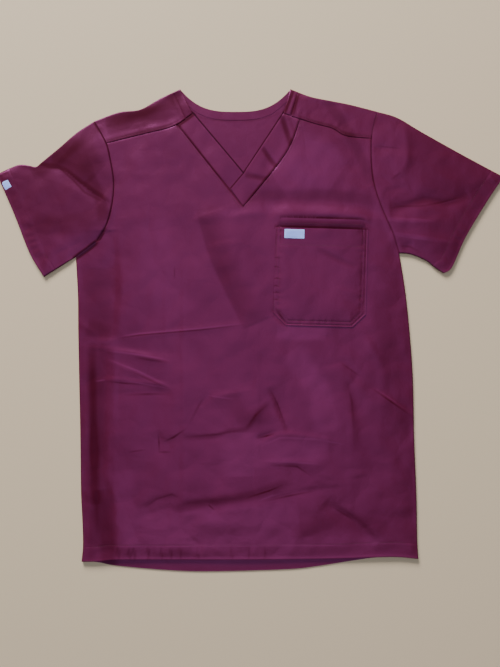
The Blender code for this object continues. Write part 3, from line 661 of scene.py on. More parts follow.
cloth = {
    "wine": (0.088, 0.0072, 0.031, 1),
    "deep": (0.080, 0.0048, 0.017, 1),
    # painted highlight, where the painted shading is above 0
    "light": (0.120, 0.0130, 0.050, 1),
    # lighter edges and seams: partly wear, partly painted highlight
    "worn": (0.150, 0.0140, 0.058, 1),
    "roughness": 0.32,
    "gloss": 0.8,
    "glossTint": (1.0, 0.22, 0.85, 1),
    "sheen": 0.03,
    "sheenTint": (1.0, 0.35, 0.8, 1),
    "matt": (0.060, 0.0022, 0.0165, 1),  # painted shade: darker and without sheen where the painted shading is below 0; also the matt finish seen low
    "shadow": (0.030, 0.0008, 0.017, 1),  # deep in a seam
    "mattRoughness": 0.8,
    "mattGloss": 0.08,
    "mattSheen": 0.12,
    "mattSheenTint": (0.9, 0.12, 0.4, 1),
    "slant": (0.2, 0.5),  # a cloth has no glare where it is seen low, so the matt finish takes over
    "twill": 0.62,  # from one diagonal of the weave to the next, in millimetres
    "twillDepth": 0.035,
    "diagonal": (0.8, 0.78),  # slope of the twill's lines, and a factor for how close they lie
    "yarn": (0.4, 1.9),  # the same of the threads that cross them
    "crinkle": 0.16,
    "crinkleSize": 13.0,
    "crumple": 0.9,  # flat patches that meet in faint lines
    "crumpleSize": 46.0,
}


def onLine(place, path, width):
    # 1 along a line, 0 from a width away and at both of its ends. A cloth has up to 34 such lines, so
    # no node here clamps or turns a number into a vector: the renderer would run out of room for them
    corners = [(np.array([x, y, 0.0]) + garment["shift"]) * garment["toMetres"] for x, y in path]
    found = None
    for start, end in zip(corners, corners[1:]):
        run = end - start
        offset = place.vector("SUBTRACT", place, start)
        along = offset.vector("DOT_PRODUCT", offset, run / run.dot(run), output=1).within(0.0, 1.0)
        foot = along.node("ShaderNodeVectorMath", {"operation": "SCALE"}, {0: run, "Scale": along})
        away = offset.vector("SUBTRACT", offset, foot)
        near = away.vector("LENGTH", away, output=1).fading(width * garment["toMetres"])
        if start is corners[0]:
            near = near * along
        if end is corners[-1]:
            near = near * (1 - along)
        found = near if found is None else found.math("MAXIMUM", found, near)
    return found * (4 if len(corners) == 2 else 1)


def clothMaterial(name, turn=0.0):
    material, shader, new = newMaterial(name)
    grain = new.node("ShaderNodeUVMap", {"uv_map": "grain"})
    place = new.node("ShaderNodeTexCoord", output=3)
    press = new.node("ShaderNodeAttribute", {"attribute_name": "press"}, output=2)
    # painted shade (below 0) and painted highlight (above 0), laid on the mesh
    nap = new.node("ShaderNodeAttribute", {"attribute_name": "nap"}, output=2)
    u, v = grainPlane(new, grain, turn)
    pace = 2 * math.pi / cloth["twill"]
    slope, close = cloth["diagonal"]
    diagonal = ((u * slope + v) * (close * pace)).sine()
    slope, close = cloth["yarn"]
    yarn = ((u - v * slope) * (close * pace)).sine()
    weave = diagonal * 0.7 + yarn * 0.3
    crinkle = new.node("ShaderNodeTexNoise", {"normalize": True}, {
        "Vector": place, "Scale": 1000 / cloth["crinkleSize"], "Detail": 3.0, "Roughness": 0.55,
        "Distortion": 0.4})
    patches = new.node("ShaderNodeTexNoise", {"normalize": True}, {
        "Vector": place, "Scale": 14.0, "Detail": 2.0, "Roughness": 0.5})
    bent = place.node("ShaderNodeVectorMath", {"operation": "MULTIPLY_ADD"}, {
        0: new.node("ShaderNodeTexNoise", inputs={"Vector": place, "Scale": 22.0, "Detail": 2.0}, output=1),
        1: (0.03, 0.03, 0.0), 2: place})
    crumple = new.node("ShaderNodeTexVoronoi", {"feature": "DISTANCE_TO_EDGE"}, {
        "Vector": bent, "Scale": 1000 / cloth["crumpleSize"], "Randomness": 1.0})
    height = weave * (0.5 * cloth["twillDepth"]) + crinkle * cloth["crinkle"] + crumple * cloth["crumple"]
    ground = place.vector("MULTIPLY", place, (1, 1, 0))
    # the finest creases are painted in as lines of painted shade and painted highlight
    for shade, width, path in paintedCreaseLines.get(name, ()):
        nap = nap + onLine(ground, path, width) * shade
    bump = new.node("ShaderNodeBump", inputs={"Strength": 1.0, "Distance": 0.001, "Height": height})
    shade = patches.between(0.35, 0.65) * 0.55 + crinkle.between(0.3, 0.7) * 0.25 + weave * 0.12
    colour = shade.mix(cloth["deep"], cloth["wine"])
    # painted highlight
    colour = nap.mix(colour, cloth["light"])
    feed(shader, {
        # edges and seams painted lighter: partly wear, partly painted highlight
        "Base Color": (press * 0.4).mix(colour, cloth["worn"]),
        "Roughness": crinkle * 0.12 + cloth["roughness"] - press * 0.05,
        "Normal": bump, "IOR": 1.6,
        "Specular IOR Level": cloth["gloss"], "Specular Tint": cloth["glossTint"],
        "Sheen Weight": cloth["sheen"], "Sheen Roughness": 0.5, "Sheen Tint": cloth["sheenTint"]})
    # the matt finish, also used for painted shade: darker, without sheen, and painted shadow below -1
    matt = new.node("ShaderNodeBsdfPrincipled", inputs={
        "Base Color": (nap * -1.0 - 1.0).mix(cloth["matt"], cloth["shadow"]),
        "Roughness": cloth["mattRoughness"], "Specular IOR Level": cloth["mattGloss"],
        "Sheen Weight": cloth["mattSheen"], "Sheen Roughness": 0.4, "Sheen Tint": cloth["mattSheenTint"],
        "Normal": bump})
    slant = new.node("ShaderNodeLayerWeight", inputs={"Blend": 0.5}, output=1)
    # painted shade takes the sheen away
    share = (nap * -0.9 + patches.between(0.3, 0.7) * 0.3).between(0.0, 1.0)
    share = share.math("MAXIMUM", share, slant.between(*cloth["slant"]))
    glossy = Socket(new.tree, shader.outputs[0])
    mixed = new.node("ShaderNodeMixShader", inputs={0: share, 1: glossy, 2: matt})
    feed(new.tree.nodes["Material Output"], {"Surface": mixed})
    return material


thread = {"colour": (0.075, 0.0040, 0.024, 1), "dark": (0.05, 0.002, 0.014, 1), "roughness": 0.65}


def threadMaterial():
    material, shader, new = newMaterial("wineThread")
    place = new.node("ShaderNodeTexCoord", output=3)
    twist = new.node("ShaderNodeTexNoise", inputs={"Vector": place, "Scale": 2600.0, "Detail": 1.0})
    feed(shader, {
        "Base Color": twist.between(0.35, 0.65).mix(thread["dark"], thread["colour"]),
        "Roughness": thread["roughness"],
        "Normal": new.node("ShaderNodeBump", inputs={"Strength": 0.5, "Distance": 0.0001, "Height": twist})})
    return material


ribbon = {
    "pale": (0.44, 0.56, 1.0, 1),
    "shade": (0.34, 0.44, 0.98, 1),
    # the tab's edges are painted lighter: partly wear, partly painted highlight
    "edge": (0.56, 0.70, 1.0, 1),
    "bright": (0.01, 0.05, 0.32, 1),  # painted glow: the tab gives off a little light of its own, so that it looks bluer and brighter
    "roughness": 0.5,
    "gloss": 0.25,
    "weft": 12.5,  # threads, in radians a millimetre
    "warp": 15.7,
}


def ribbonMaterial():
    material, shader, new = newMaterial("wovenRibbon")
    grain = new.node("ShaderNodeUVMap", {"uv_map": "grain"})
    press = new.node("ShaderNodeAttribute", {"attribute_name": "press"}, output=2)
    u, v = grainPlane(new, grain)
    weft = (v * ribbon["weft"]).sine()
    warp = (u * ribbon["warp"]).sine()
    weave = weft * 0.5 + warp * weft * 0.5
    colour = (weave * 0.5 + 0.5).mix(ribbon["shade"], ribbon["pale"])
    feed(shader, {
        "Base Color": press.mix(colour, ribbon["edge"]),
        "Normal": new.node("ShaderNodeBump", inputs={"Strength": 0.7, "Distance": 0.0001, "Height": weave}),
        "Roughness": ribbon["roughness"], "Specular IOR Level": ribbon["gloss"],
        "Emission Color": ribbon["bright"], "Emission Strength": 1.0})
    return material


finishes = {"thread": threadMaterial(), "ribbon": ribbonMaterial()}


def dress(piece, node, turn=0.0, material=None):
    # every sheet rides on the one body and stands for its solid; turn is its weave's
    if material is None:
        name = piece.name.replace("Panel", "")
        material = clothMaterial("cloth" + name[0].upper() + name[1:], turn)
    piece.data.materials.append(material)
    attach(piece, "root")
    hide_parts(node)
    print("made", piece.name)


# Front

front = {
    # rough lengths of its edges, which set how many points lie along them
    "spans": {"side": 447, "armhole": 182, "neck": 152, "yokeSeam": 108},
    "rowStep": 2.3,
    "columnStep": 3.5,
    "hemDepth": 22.0,
    "hemSeam": 21.2,  # its row of stitches
    "hemRise": 0.22,
    "hemTop": 3.9,
    "hemEase": 9.0,  # over this the cloth comes down to its hem
    "hemWave": (0.25, 31.0),
    "hemGathers": (11.0, 0.38, 12.0, 9.0),  # pitch, height, and the middle and width of their strip
    "gatherMiddle": (-60.0, 130.0),  # where along the hem they are strongest, and how far they reach
    "armholeRise": (0.35, 2.0, 2.2),  # the seam's layers: height, and middle and width of their strip
    "topstitch": 4.6,  # beside the neckband
    "neckGathers": (8.0, 0.14, 3.0, 3.0),
    "underBand": 1.6,
    "cut": (0.56, 0.71, 0.305),  # sides and area with its hem and seams, in metres
}


def frontTop(points):
    height = clothTop(points)
    hem, _, along = nearest(points, frontHem)
    low = bell(hem, front["hemEase"])
    rise, length = front["hemWave"]
    height = height * (1 - low) + (front["hemTop"] + rise * np.sin(along / length)) * low
    height += front["hemRise"] * until(hem, front["hemDepth"], 1.2)
    height += stitchedIn(points, frontHem, front["hemSeam"], 0.18)
    height += 0.3 * bell(hem - 1.2, 1.1)  # the folded edge of the hem
    middle, spread = front["gatherMiddle"]
    height += puckers(points, frontHem, *front["hemGathers"]) * bell(points[..., 0] - middle, spread, 4)
    height -= tucked(points, [leftYokeSeam, rightYokeSeam], 0.5, 2.0)
    rise, edge, width = front["armholeRise"]
    height += rise * bell(distance(points, leftArmhole, rightArmhole) - edge, width)
    height -= tucked(points, [leftV, rightV], 0.7, 2.2)
    for side in (leftV, rightV):
        height += stitchedIn(points, side, front["topstitch"], 0.16)
        height += puckers(points, side, *front["neckGathers"])
    height = rolledDown(height, distance(points, leftWedge))
    return rolledDown(height, distance(points, leftSide, rightSide))


def makeFront():
    spans = front["spans"]
    seamStops = makeStops(spans["yokeSeam"], front["columnStep"], edges=(False, True))
    vStops = makeStops(spans["neck"], front["columnStep"], edges=(False, False))
    tip = np.array(vTip) + (0, 1.6 * front["underBand"])
    underLeft = np.vstack([shifted(leftV, front["underBand"])[:1], tip])
    underRight = np.vstack([tip, shifted(rightV, front["underBand"])[1:]])
    top = np.vstack([
        walk(leftYokeSeam, seamStops)[::-1],
        walk(underLeft, vStops)[1:],
        walk(underRight, vStops)[1:],
        walk(rightYokeSeam, seamStops)[1:],
    ])
    sideStops = makeStops(spans["side"], front["rowStep"], [front["hemSeam"]], (True, False))
    upperStops = makeStops(spans["armhole"], front["rowStep"], [-front["topstitch"]], (False, True))
    leftUpper = np.vstack([leftWedge, leftArmhole[1:]])
    left = np.vstack([walk(leftSide, sideStops), walk(leftUpper, upperStops)[1:]])
    right = np.vstack([walk(rightSide, sideStops), walk(rightArmhole, upperStops)[1:]])
    points = patch(walk(frontHem, shares(top)), top, left, right)
    press = 0.9 * bell(distance(points, frontHem) - 0.6, 1.0)
    press += 0.35 * bell(distance(points, leftArmhole, rightArmhole, leftV, rightV) - 0.5, 0.8)
    press += 0.5 * bell(distance(points, leftSide, rightSide) - 1.0, 1.6)
    piece = makeSheet("frontPanel", withHeight(points, frontTop(points)), points, press)
    dress(piece, "front")


# Back

back = {
    "spans": {"side": 447, "armhole": 110, "across": 495},
    "rowStep": 6.0,
    "columnStep": 5.0,
    "cut": (0.56, 0.62, 0.283),
}


def makeBack():
    spans = back["spans"]
    columns = makeStops(spans["across"], back["columnStep"])
    rows = makeStops(spans["side"], back["rowStep"], edges=(True, False))
    upper = makeStops(spans["armhole"], back["rowStep"], edges=(False, False))
    leftPart = leftArmhole[leftArmhole[:, 1] < leftBackSeam[1] - 2]
    rightPart = rightArmhole[rightArmhole[:, 1] < rightBackSeam[1] - 2]
    leftRise = np.vstack([leftWedge, leftPart[1:], leftBackSeam])
    rightRise = np.vstack([rightPart, rightBackSeam])
    left = np.vstack([walk(leftSide, rows), walk(leftRise, upper)[1:]])
    right = np.vstack([walk(rightSide, rows), walk(rightRise, upper)[1:]])
    points = patch(walk(backHem, columns), walk([left[-1], right[-1]], columns), left, right)
    side = distance(points, leftSide, rightSide)
    roll = garment["rollRadius"]
    height = roll * (1 - np.sqrt(1 - (1 - np.clip(side / roll, 0, 1)) ** 2))
    press = 0.9 * bell(distance(points, backHem) - 0.6, 1.0)
    piece = makeSheet("backPanel", withHeight(points, height), points, press, grows=1)
    dress(piece, "back")


# Yoke

neckline = {
    "centreX": -22.0,
    "width": 162.0,
    "pointY": 354.0,
    "drop": 33.0,
    "power": 3.0,  # how square its curve is
    "faces": 120,
    "band": 12.0,  # how wide the neckband at the back is
    "bandReach": 62.0,  # where its lower line leaves the curve for the shoulders
}
yoke = {
    "spans": {"wing": 115, "wingEnd": 40, "middle": 150, "side": 120},
    "step": 2.6,
    "groundStep": 3.2,
    "lap": 0.8,
    "seamRise": (0.4, 7.0),  # height and width
    "topstitch": 1.9,
    "gathers": (9.0, 0.3, 7.0, 6.0),
    "cut": (0.47, 0.24, 0.0625),
}


def backNeckline():
    t = np.linspace(-1, 1, neckline["faces"] + 1)
    drop = neckline["drop"] * (1 - np.abs(t) ** neckline["power"])
    return np.stack([neckline["centreX"] + t * neckline["width"] / 2, neckline["pointY"] - drop], axis=1)


def pastBand(shoulder):  # the shoulder fold from the neckband's lower line outwards
    away = np.linalg.norm(shoulder - shoulder[0], axis=1)
    start = walk(shoulder, np.interp([neckline["band"]], away, shares(shoulder)))
    return np.vstack([start, shoulder[away > neckline["band"] + 0.5]])


leftYokeFold, rightYokeFold = pastBand(leftShoulder), pastBand(rightShoulder)
bandMiddle = [p for p in backNeckline() - (0, neckline["band"])
              if abs(p[0] - neckline["centreX"]) < neckline["bandReach"]]
bandLine = smoothed(np.vstack([leftYokeFold[:1], bandMiddle[::8], rightYokeFold[:1]]), 4)
leftBandTop = (np.array(bandLeftOuter) + bandLeftInner) / 2  # where the yoke's inner edge starts
rightBandTop = (np.array(bandRightOuter) + bandRightInner) / 2
leftYokeInner = np.array([leftBandTop, leftYokeFold[0]])
rightYokeInner = np.array([rightBandTop, rightYokeFold[0]])
leftWingSeam = np.vstack([leftBandTop, leftYokeSeam])
rightWingSeam = np.vstack([rightBandTop, rightYokeSeam])


def yokeTop(points):
    seam = distance(points, leftWingSeam, rightWingSeam)
    rise, width = yoke["seamRise"]
    height = clothTop(points) + rise * bell(seam, width, 4)
    for line in (leftWingSeam, rightWingSeam):
        height += stitchedIn(points, line, yoke["topstitch"], 0.1)
        height += puckers(points, line, *yoke["gathers"])
    inner = distance(points, leftYokeInner, rightYokeInner)
    return height - 0.3 * bell(inner, 1.2)


def overFold(column, height):
    # the points that take a column of the upper layer round its last one and down to the floor
    inward = column[-2] - column[-1]
    inward = inward / np.linalg.norm(inward)
    radius = height / 2
    angles = np.linspace(math.pi / 2, -math.pi / 2, garment["foldSteps"] + 1)
    return np.array([[*(column[-1] + inward * radius * (1 - math.cos(a))), radius + radius * math.sin(a)]
                     for a in angles])


def overWing(wing, line, flat):
    # a column of points along a wing, round the shoulder's fold and on along the layer below
    over = withHeight(wing, yokeTop(wing))
    turn = overFold(wing, over[-1, 2])
    radius = turn[0, 2] / 2
    over[np.linalg.norm(wing - wing[-1], axis=1) <= radius + 0.3] = turn[0]
    near = np.linalg.norm(line[1:] - line[0], axis=1) < radius
    flat[near, :2] = turn[-1, :2]
    return np.vstack([over, turn[1:], flat])


def makeYoke():
    spans = yoke["spans"]
    wingStops = makeStops(spans["wing"], yoke["step"])
    topStops = makeStops(spans["wingEnd"], yoke["step"], [yoke["topstitch"]], (True, False))
    bandStops = makeStops(spans["middle"], yoke["groundStep"], edges=(False, False))
    groundStops = makeStops(spans["side"], yoke["groundStep"])
    leftLap = shifted(leftWingSeam[::-1], -yoke["lap"])
    rightLap = shifted(rightWingSeam, -yoke["lap"])
    leftTop = np.vstack([leftLap[:1], leftArmholeTop[1:]])
    rightTop = np.vstack([rightLap[-1:], rightArmholeTop[1:]])
    leftInner = np.vstack([leftLap[-1:], leftYokeInner[1:]])
    rightInner = np.vstack([rightLap[:1], rightYokeInner[1:]])
    leftWing = patch(walk(leftLap, wingStops), walk(leftYokeFold[::-1], wingStops),
                     walk(leftTop, topStops), walk(leftInner, topStops))
    rightWing = patch(walk(rightLap, wingStops), walk(rightYokeFold, wingStops),
                      walk(rightInner, topStops), walk(rightTop, topStops))
    top = np.vstack([walk(leftYokeFold[::-1], wingStops), walk(bandLine, bandStops)[1:-1],
                     walk(rightYokeFold, wingStops)])
    leftPart = leftArmhole[leftArmhole[:, 1] > leftBackSeam[1] + 3]
    rightPart = rightArmhole[rightArmhole[:, 1] > rightBackSeam[1] + 3]
    leftRise = np.vstack([leftBackSeam, leftPart, leftArmholeTop[1:]])
    rightRise = np.vstack([rightBackSeam, rightPart, rightArmholeTop[1:]])
    left, right = walk(leftRise, groundStops), walk(rightRise, groundStops)
    ground = patch(walk([left[0], right[0]], shares(top)), top, left, right)
    wings = {c: leftWing[:, c] for c in range(len(wingStops))}
    wings.update({len(top) - len(wingStops) + c: rightWing[:, c] for c in range(len(wingStops))})
    columns = []
    for c in range(len(top)):
        line = ground[::-1, c]
        flat = withHeight(line[1:], 0.0)
        if c in wings:
            columns.append(overWing(wings[c], line, flat))
        else:  # under the neckband there is nothing above the layer below
            empty = np.full((len(topStops) + garment["foldSteps"] - 1, 3), np.nan)
            columns.append(np.vstack([empty, withHeight(line[:1], 0.0), flat]))
    points = np.stack(columns, axis=1)
    grain = np.nan_to_num(points[..., :2])
    press = 0.4 * bell(distance(grain, leftWingSeam, rightWingSeam) - 0.5, 1.0)
    piece = makeSheet("yokePanel", points, grain, press)
    dress(piece, "yoke")


# Sleeves

sleeve = {
    "span": 185,  # across it, of a layer
    "around": 2.5,
    "seamRows": [0.0, 0.6, 1.4, 2.4, 3.6],  # from the armhole
    "bodyRows": 56,  # how many between the seam's and the hem's
    "hemRows": [22.2, 21.2, 20.5, 20.0, 19.5, 18.8, 17.5, 14.8, 12.0, 9.2, 6.6, 4.4, 2.6, 1.4, 0.6, 0.0],
    "hemDepth": 20.0,
    "hemSeam": 19.4,
    "gathers": (13.0, 0.25, 10.0, 7.0),
    "wedgeDip": (1.6, 8.0),  # depth and width, where the left sleeve goes below the front
    "tucks": {"sleeveLeft": 1.5, "sleeveRight": 0.9},  # how far they go down below the armhole
    "weaveTurn": 28.0,  # how far the weave turns from the body's, in degrees
    "cuts": {"sleeveLeft": (0.42, 0.19, 0.054), "sleeveRight": (0.42, 0.19, 0.061)},
}


def sleeveEdge(line):
    # its points from armhole to cuff, closer at both ends and along the hem's stitches
    length = reach(line)[-1]
    start, hem = np.array(sleeve["seamRows"]), np.array(sleeve["hemRows"])
    body = np.linspace(start[-1], length - hem[0], sleeve["bodyRows"])
    return walk(line, np.concatenate([start[:-1], body[:-1], length - hem]) / length)


def sleeveTop(points, armhole, cuff, tuckDepth=1.2):
    edge = distance(points, cuff)
    height = clothTop(points)
    height += 0.3 * until(edge, sleeve["hemDepth"], 1.2)
    height += stitchedIn(points, cuff, sleeve["hemSeam"], 0.3)
    height += puckers(points, cuff, *sleeve["gathers"])
    dip, width = sleeve["wedgeDip"]
    height += 0.3 * bell(edge - 1.0, 1.2) - dip * bell(distance(points, leftWedge), width)
    return height - tucked(points, armhole, tuckDepth)


def makeSleeve(name, node, lower, upper, cuff, fold, under, order):
    # lower and upper are the armhole's two parts; order is -1 on the left and 1 on the right
    armhole = np.vstack([lower, upper[1:]])[::-1]
    tuckedLine = shifted(armhole, -garment["tuck"] * order)
    fold = np.vstack([tuckedLine[:1], fold[1:]])
    under = np.vstack([tuckedLine[-1:], under[1:]])
    downStops = makeStops(sleeve["span"], sleeve["around"], edges=(False, False))
    plan = patch(sleeveEdge(fold), sleeveEdge(under), walk(tuckedLine, downStops), walk(cuff, downStops))
    rings = []
    for c in range(plan.shape[1]):
        line = plan[:, c]
        height = sleeveTop(line, [tuckedLine], cuff, sleeve["tucks"][name])
        first = overFold(line[::-1], height[0])
        last = overFold(line, height[-1])
        clear = 1 + int(max(first[0, 2], last[0, 2]) / 2 / sleeve["around"])
        middle = slice(clear, len(line) - clear)
        over = withHeight(line[middle], height[middle])
        below = withHeight(line[middle][::-3], 0.0)
        rings.append(np.vstack([first[:1], over, last, below, first[:0:-1], first[:1]]))
    points = np.stack(rings[::order], axis=0)
    flat = points[..., :2]
    press = 0.8 * bell(distance(flat, cuff) - 0.6, 1.0)
    piece = makeSheet(name, points, flat, press)
    dress(piece, node, math.radians(sleeve["weaveTurn"] * order))


# Neckband

band = {
    "span": 20,  # across a half
    "step": 2.4,
    "acrossStep": 1.9,
    "backSpans": {"along": 200, "end": 38, "across": 12},
    "backAcrossStep": 1.5,
    "weaveTurn": 0.9,  # in radians
    "backWeaveTurn": 0.5,
    "wall": 1.1,
    "lift": 0.3,  # above the garment's layer
    "backLift": 0.1,
    "lap": 0.6,
    "sink": 2.0,  # how far the left half goes down below the right one, and over what length
    "sinkRun": 30.0,
    "cutBack": (0.36, 0.03, 0.0042),
    "cutHalf": (0.19, 0.05, 0.0058),
}


def bandHeight(points, inner, hidden):
    edge = distance(points, inner)
    height = clothTop(points) + band["lift"] - tucked(points, hidden, 0.9, 2.6)
    return height + 0.15 * bell(edge - 2.2, 1.6)


def makeBandHalf(name, node, inner, outer, hidden, sinks):
    length = reach(outer)[-1]
    along = makeStops(length, band["step"])
    across = makeStops(band["span"], band["acrossStep"])
    outerLine = walk(shifted(outer, -band["lap"]), along)
    innerLine = walk(inner, along)
    points = patch(outerLine, innerLine, walk([outerLine[0], innerLine[0]], across),
                   walk([outerLine[-1], innerLine[-1]], across))
    height = bandHeight(points, inner, hidden)
    if sinks:  # this end dips below the other half
        over = np.array(bandCrossing) - rightBandEnd
        square = np.array([over[1], -over[0]]) / np.linalg.norm(over)
        share = np.clip(1 + (points - bandCrossing) @ square / band["sinkRun"], 0, 1)
        height -= band["sink"] * share**2 * (3 - 2 * share)
    press = 0.5 * bell(distance(points, inner) - 1.0, 1.2)
    piece = makeSheet(name, withHeight(points, height), points, press, band["wall"])
    dress(piece, node, band["weaveTurn"])


def makeBandBack():
    neck = backNeckline()
    spans = band["backSpans"]
    backStops = makeStops(spans["along"], band["step"], edges=(False, False))
    wingStops = makeStops(spans["end"], band["step"], edges=(True, False))
    lower, upper = walk(bandLine, backStops), walk(neck, backStops)
    across = makeStops(spans["across"], band["backAcrossStep"])

    def section(outer, inner):
        return walk([outer, inner], across)

    def wing(inner, outer, neckPoint, lowerPoint):
        # from the V neckband up to the shoulder's fold and round it
        found = []
        for share in wingStops[:-1]:
            line = section(outer + (lowerPoint - outer) * share, inner + (neckPoint - inner) * share)
            edge = np.linalg.norm(line - line[-1], axis=1)
            height = rolledDown(clothTop(line) + band["backLift"], edge, 0.8, 0.85)
            height -= 0.6 * bell(np.linalg.norm(line - line[0], axis=1), 1.6)
            found.append(withHeight(line, height))
        down = section(outer, inner)
        edge = section(lowerPoint, neckPoint)
        turns = [overFold(np.array([d, e]), float(clothTop(e[None])[0]) + band["backLift"])
                 for d, e in zip(down, edge)]
        near = [f for f in found if np.linalg.norm(f[0, :2] - lowerPoint) > band["step"]]
        return near + [np.array(row) for row in zip(*turns)]

    left = wing(np.array(bandLeftInner), leftBandTop, upper[0], lower[0])
    right = wing(np.array(bandRightInner), rightBandTop, upper[-1], lower[-1])
    middle = [withHeight(section(o, i), 0.0) for o, i in list(zip(lower, upper))[2:-2]]
    points = np.stack(left + middle + right[::-1])
    flat = points[..., :2]
    press = 0.6 * bell(distance(flat, neck) - 0.8, 1.2)
    piece = makeSheet("neckBandBack", points, flat, press, band["wall"])
    dress(piece, "neckband_back", band["backWeaveTurn"])


# Pocket

pocket = {
    "centre": (102.5, 77.0),
    "width": 136.0,
    "height": 143.0,
    "turn": math.radians(-1.6),
    "corner": 19.0,
    "cornerPoints": 9,
    "rearRise": 14.5,
    "rearTaper": 9.0,
    "mouthLift": 1.2,
    "mouthSeam": 25.0,  # the hem's stitches below the front layer's mouth
    "rearSeam": 8.0,  # and below the rear one's, where they show
    "stitches": (2.2, 7.2),  # rows beside its edge
    "gathers": (12.0, 0.28, 8.0, 5.0),
    "rearLift": (0.5, 1.4),  # above the garment, at the edges and in the middle
    "frontLift": (1.0, 2.3),
    "wall": 0.45,
    "step": 2.1,
    "cuts": {"pocketFront": (0.15, 0.17, 0.0225), "pocketRear": (0.15, 0.19, 0.0245)},
}


def turned(x, y, centre, angle):  # points of the garment, from x and y in turned directions
    c, s = math.cos(angle), math.sin(angle)
    return np.stack([centre[0] + c * x - s * y, centre[1] + s * x + c * y], axis=-1)


def onPocket(x, y):  # the same from the pocket's centre in the pocket's own directions
    return turned(x, y, pocket["centre"], pocket["turn"])


def acrossPocket(points):  # how far to the right of the pocket's middle
    x, y = points[..., 0] - pocket["centre"][0], points[..., 1] - pocket["centre"][1]
    return math.cos(pocket["turn"]) * x + math.sin(pocket["turn"]) * y


halfWide, halfHigh, corner = pocket["width"] / 2, pocket["height"] / 2, pocket["corner"]
pocketLower = np.array([onPocket(x, y) for x, y in [
    (-halfWide, halfHigh), (-halfWide, corner - halfHigh), (corner - halfWide, -halfHigh),
    (halfWide - corner, -halfHigh), (halfWide, corner - halfHigh), (halfWide, halfHigh)]])
pocketMouth = np.array([onPocket(-halfWide, halfHigh), onPocket(halfWide, halfHigh)])
rearMouth = np.array([onPocket(pocket["rearTaper"] - halfWide, halfHigh + pocket["rearRise"]),
                      onPocket(halfWide - pocket["rearTaper"], halfHigh + pocket["rearRise"])])


def pocketTop(points, lift, mouth):
    edge = distance(points, pocketLower)
    height = clothTop(points) + lift[0] + (lift[1] - lift[0]) * (1 - bell(edge, 12.0))
    for offset in pocket["stitches"]:
        height += stitchedIn(points, pocketLower, offset, 0.36)
    height += puckers(points, pocketLower, *pocket["gathers"])
    arch = np.cos(np.clip(acrossPocket(points) / halfWide, -1, 1) * math.pi / 2)
    height += pocket["mouthLift"] * arch * bell(distance(points, mouth), 14.0)
    height += stitchedIn(points, mouth, pocket["mouthSeam"], 0.25, 1.0)
    if mouth is rearMouth:
        height -= 1.1 * bell(distance(points, pocketMouth), 4.5) * until(edge, 4.0, -3.0)
    return height


def makePocketLayer(name, node, lift, mouth):
    step = pocket["step"]
    near, far = pocket["stitches"]
    wide = makeStops(pocket["width"], step, [near, far, -near, -far])
    tall = makeStops(pocket["height"] - corner, step, [1.9, 6.25])
    cornerCount = pocket["cornerPoints"]
    flatCount = len(wide) - 2 * cornerCount
    base = pocketLower
    bottom = np.vstack([walk(base[1:3], np.linspace(0, 1, cornerCount + 1)),
                        walk(base[2:4], np.linspace(0, 1, flatCount + 1))[1:-1],
                        walk(base[3:5], np.linspace(0, 1, cornerCount))])
    left, right = walk(base[[1, 0]], tall), walk(base[[4, 5]], tall)
    points = patch(bottom, walk(pocketMouth, wide), left, right)
    if mouth is rearMouth:  # this layer goes on above the front one's mouth
        rise = makeStops(pocket["rearRise"], step, edges=(False, True))
        above = patch(points[-1], walk(mouth, wide), walk([points[-1, 0], mouth[0]], rise),
                      walk([points[-1, -1], mouth[1]], rise))
        points = np.vstack([points, above[1:]])
    press = 0.7 * bell(distance(points, pocketLower) - 1.2, 1.0)
    press += 0.6 * bell(distance(points, mouth) - 0.8, 0.9)
    layer = withHeight(points, pocketTop(points, lift, mouth))
    piece = makeSheet(name, layer, points, press, pocket["wall"])
    dress(piece, node)


# Woven tabs

tabs = {
    "lift": 0.35,
    "wall": 0.45,
    "pocketTab": {"node": "pocket_tab", "place": (64.5, 140.5), "size": (29.0, 13.0),
                  "turn": pocket["turn"], "cut": (0.03, 0.014, 0.0004)},
    "sleeveTab": {"node": "sleeve_tab", "place": (-358.0, 212.6), "size": (12.5, 11.5),
                  "turn": math.radians(-61.0), "cut": (0.0135, 0.012, 0.000155)},
}


def makeTab(name, restsOn, surface, *about):
    tab = tabs[name]
    wide, high = tab["size"]
    x, y = np.meshgrid(wide * (makeStops(wide, 1.0) - 0.5), high * (makeStops(high, 1.0) - 0.5))
    points = turned(x, y, tab["place"], tab["turn"])
    edge = np.minimum(wide / 2 - np.abs(x), high / 2 - np.abs(y))
    height = surface(points, *about) + tabs["lift"] + 0.25 * (1 - bell(edge, 1.5))
    grain = np.stack([x, y], axis=-1)
    press = 0.8 * bell(edge - 0.4, 0.5)
    piece = makeSheet(name, withHeight(points, height), grain, press, tabs["wall"])
    dress(piece, tab["node"], material=finishes["ribbon"])


# Seams sewn in sight

def sewn(path, offset, surface, *about):  # a line beside another, laid on a surface
    count = 2 + int(reach(np.array(path, float))[-1] / stitch["pitch"])
    line = shifted(walk(path, np.linspace(0, 1, count)), offset)
    return withHeight(line, surface(line, *about) + stitch["lift"])


def makeSeams():
    frontLayer = (pocketTop, pocket["frontLift"], pocketMouth)
    makeStitches("frontStitches", [
        sewn(frontHem[4:-4], front["hemSeam"], frontTop),
        sewn(leftV, -front["topstitch"], frontTop),
        sewn(rightV, -front["topstitch"], frontTop),
    ])
    makeStitches("yokeStitches", [
        sewn(leftYokeSeam[2:], -yoke["topstitch"], yokeTop),
        sewn(rightYokeSeam[2:], yoke["topstitch"], yokeTop),
    ])
    makeStitches("sleeveStitches", [
        sewn(leftCuff[3:-3], sleeve["hemSeam"], sleeveTop, [leftArmhole], leftCuff),
        sewn(rightCuff[3:-3], -sleeve["hemSeam"], sleeveTop, [rightArmhole], rightCuff),
    ])
    makeStitches("pocketStitches", [
        *(sewn(pocketLower, offset, *frontLayer) for offset in pocket["stitches"]),
        sewn(pocketMouth, -pocket["mouthSeam"], *frontLayer),
        sewn(rearMouth, -pocket["rearSeam"], pocketTop, pocket["rearLift"], rearMouth),
    ])


# Floor, light and camera

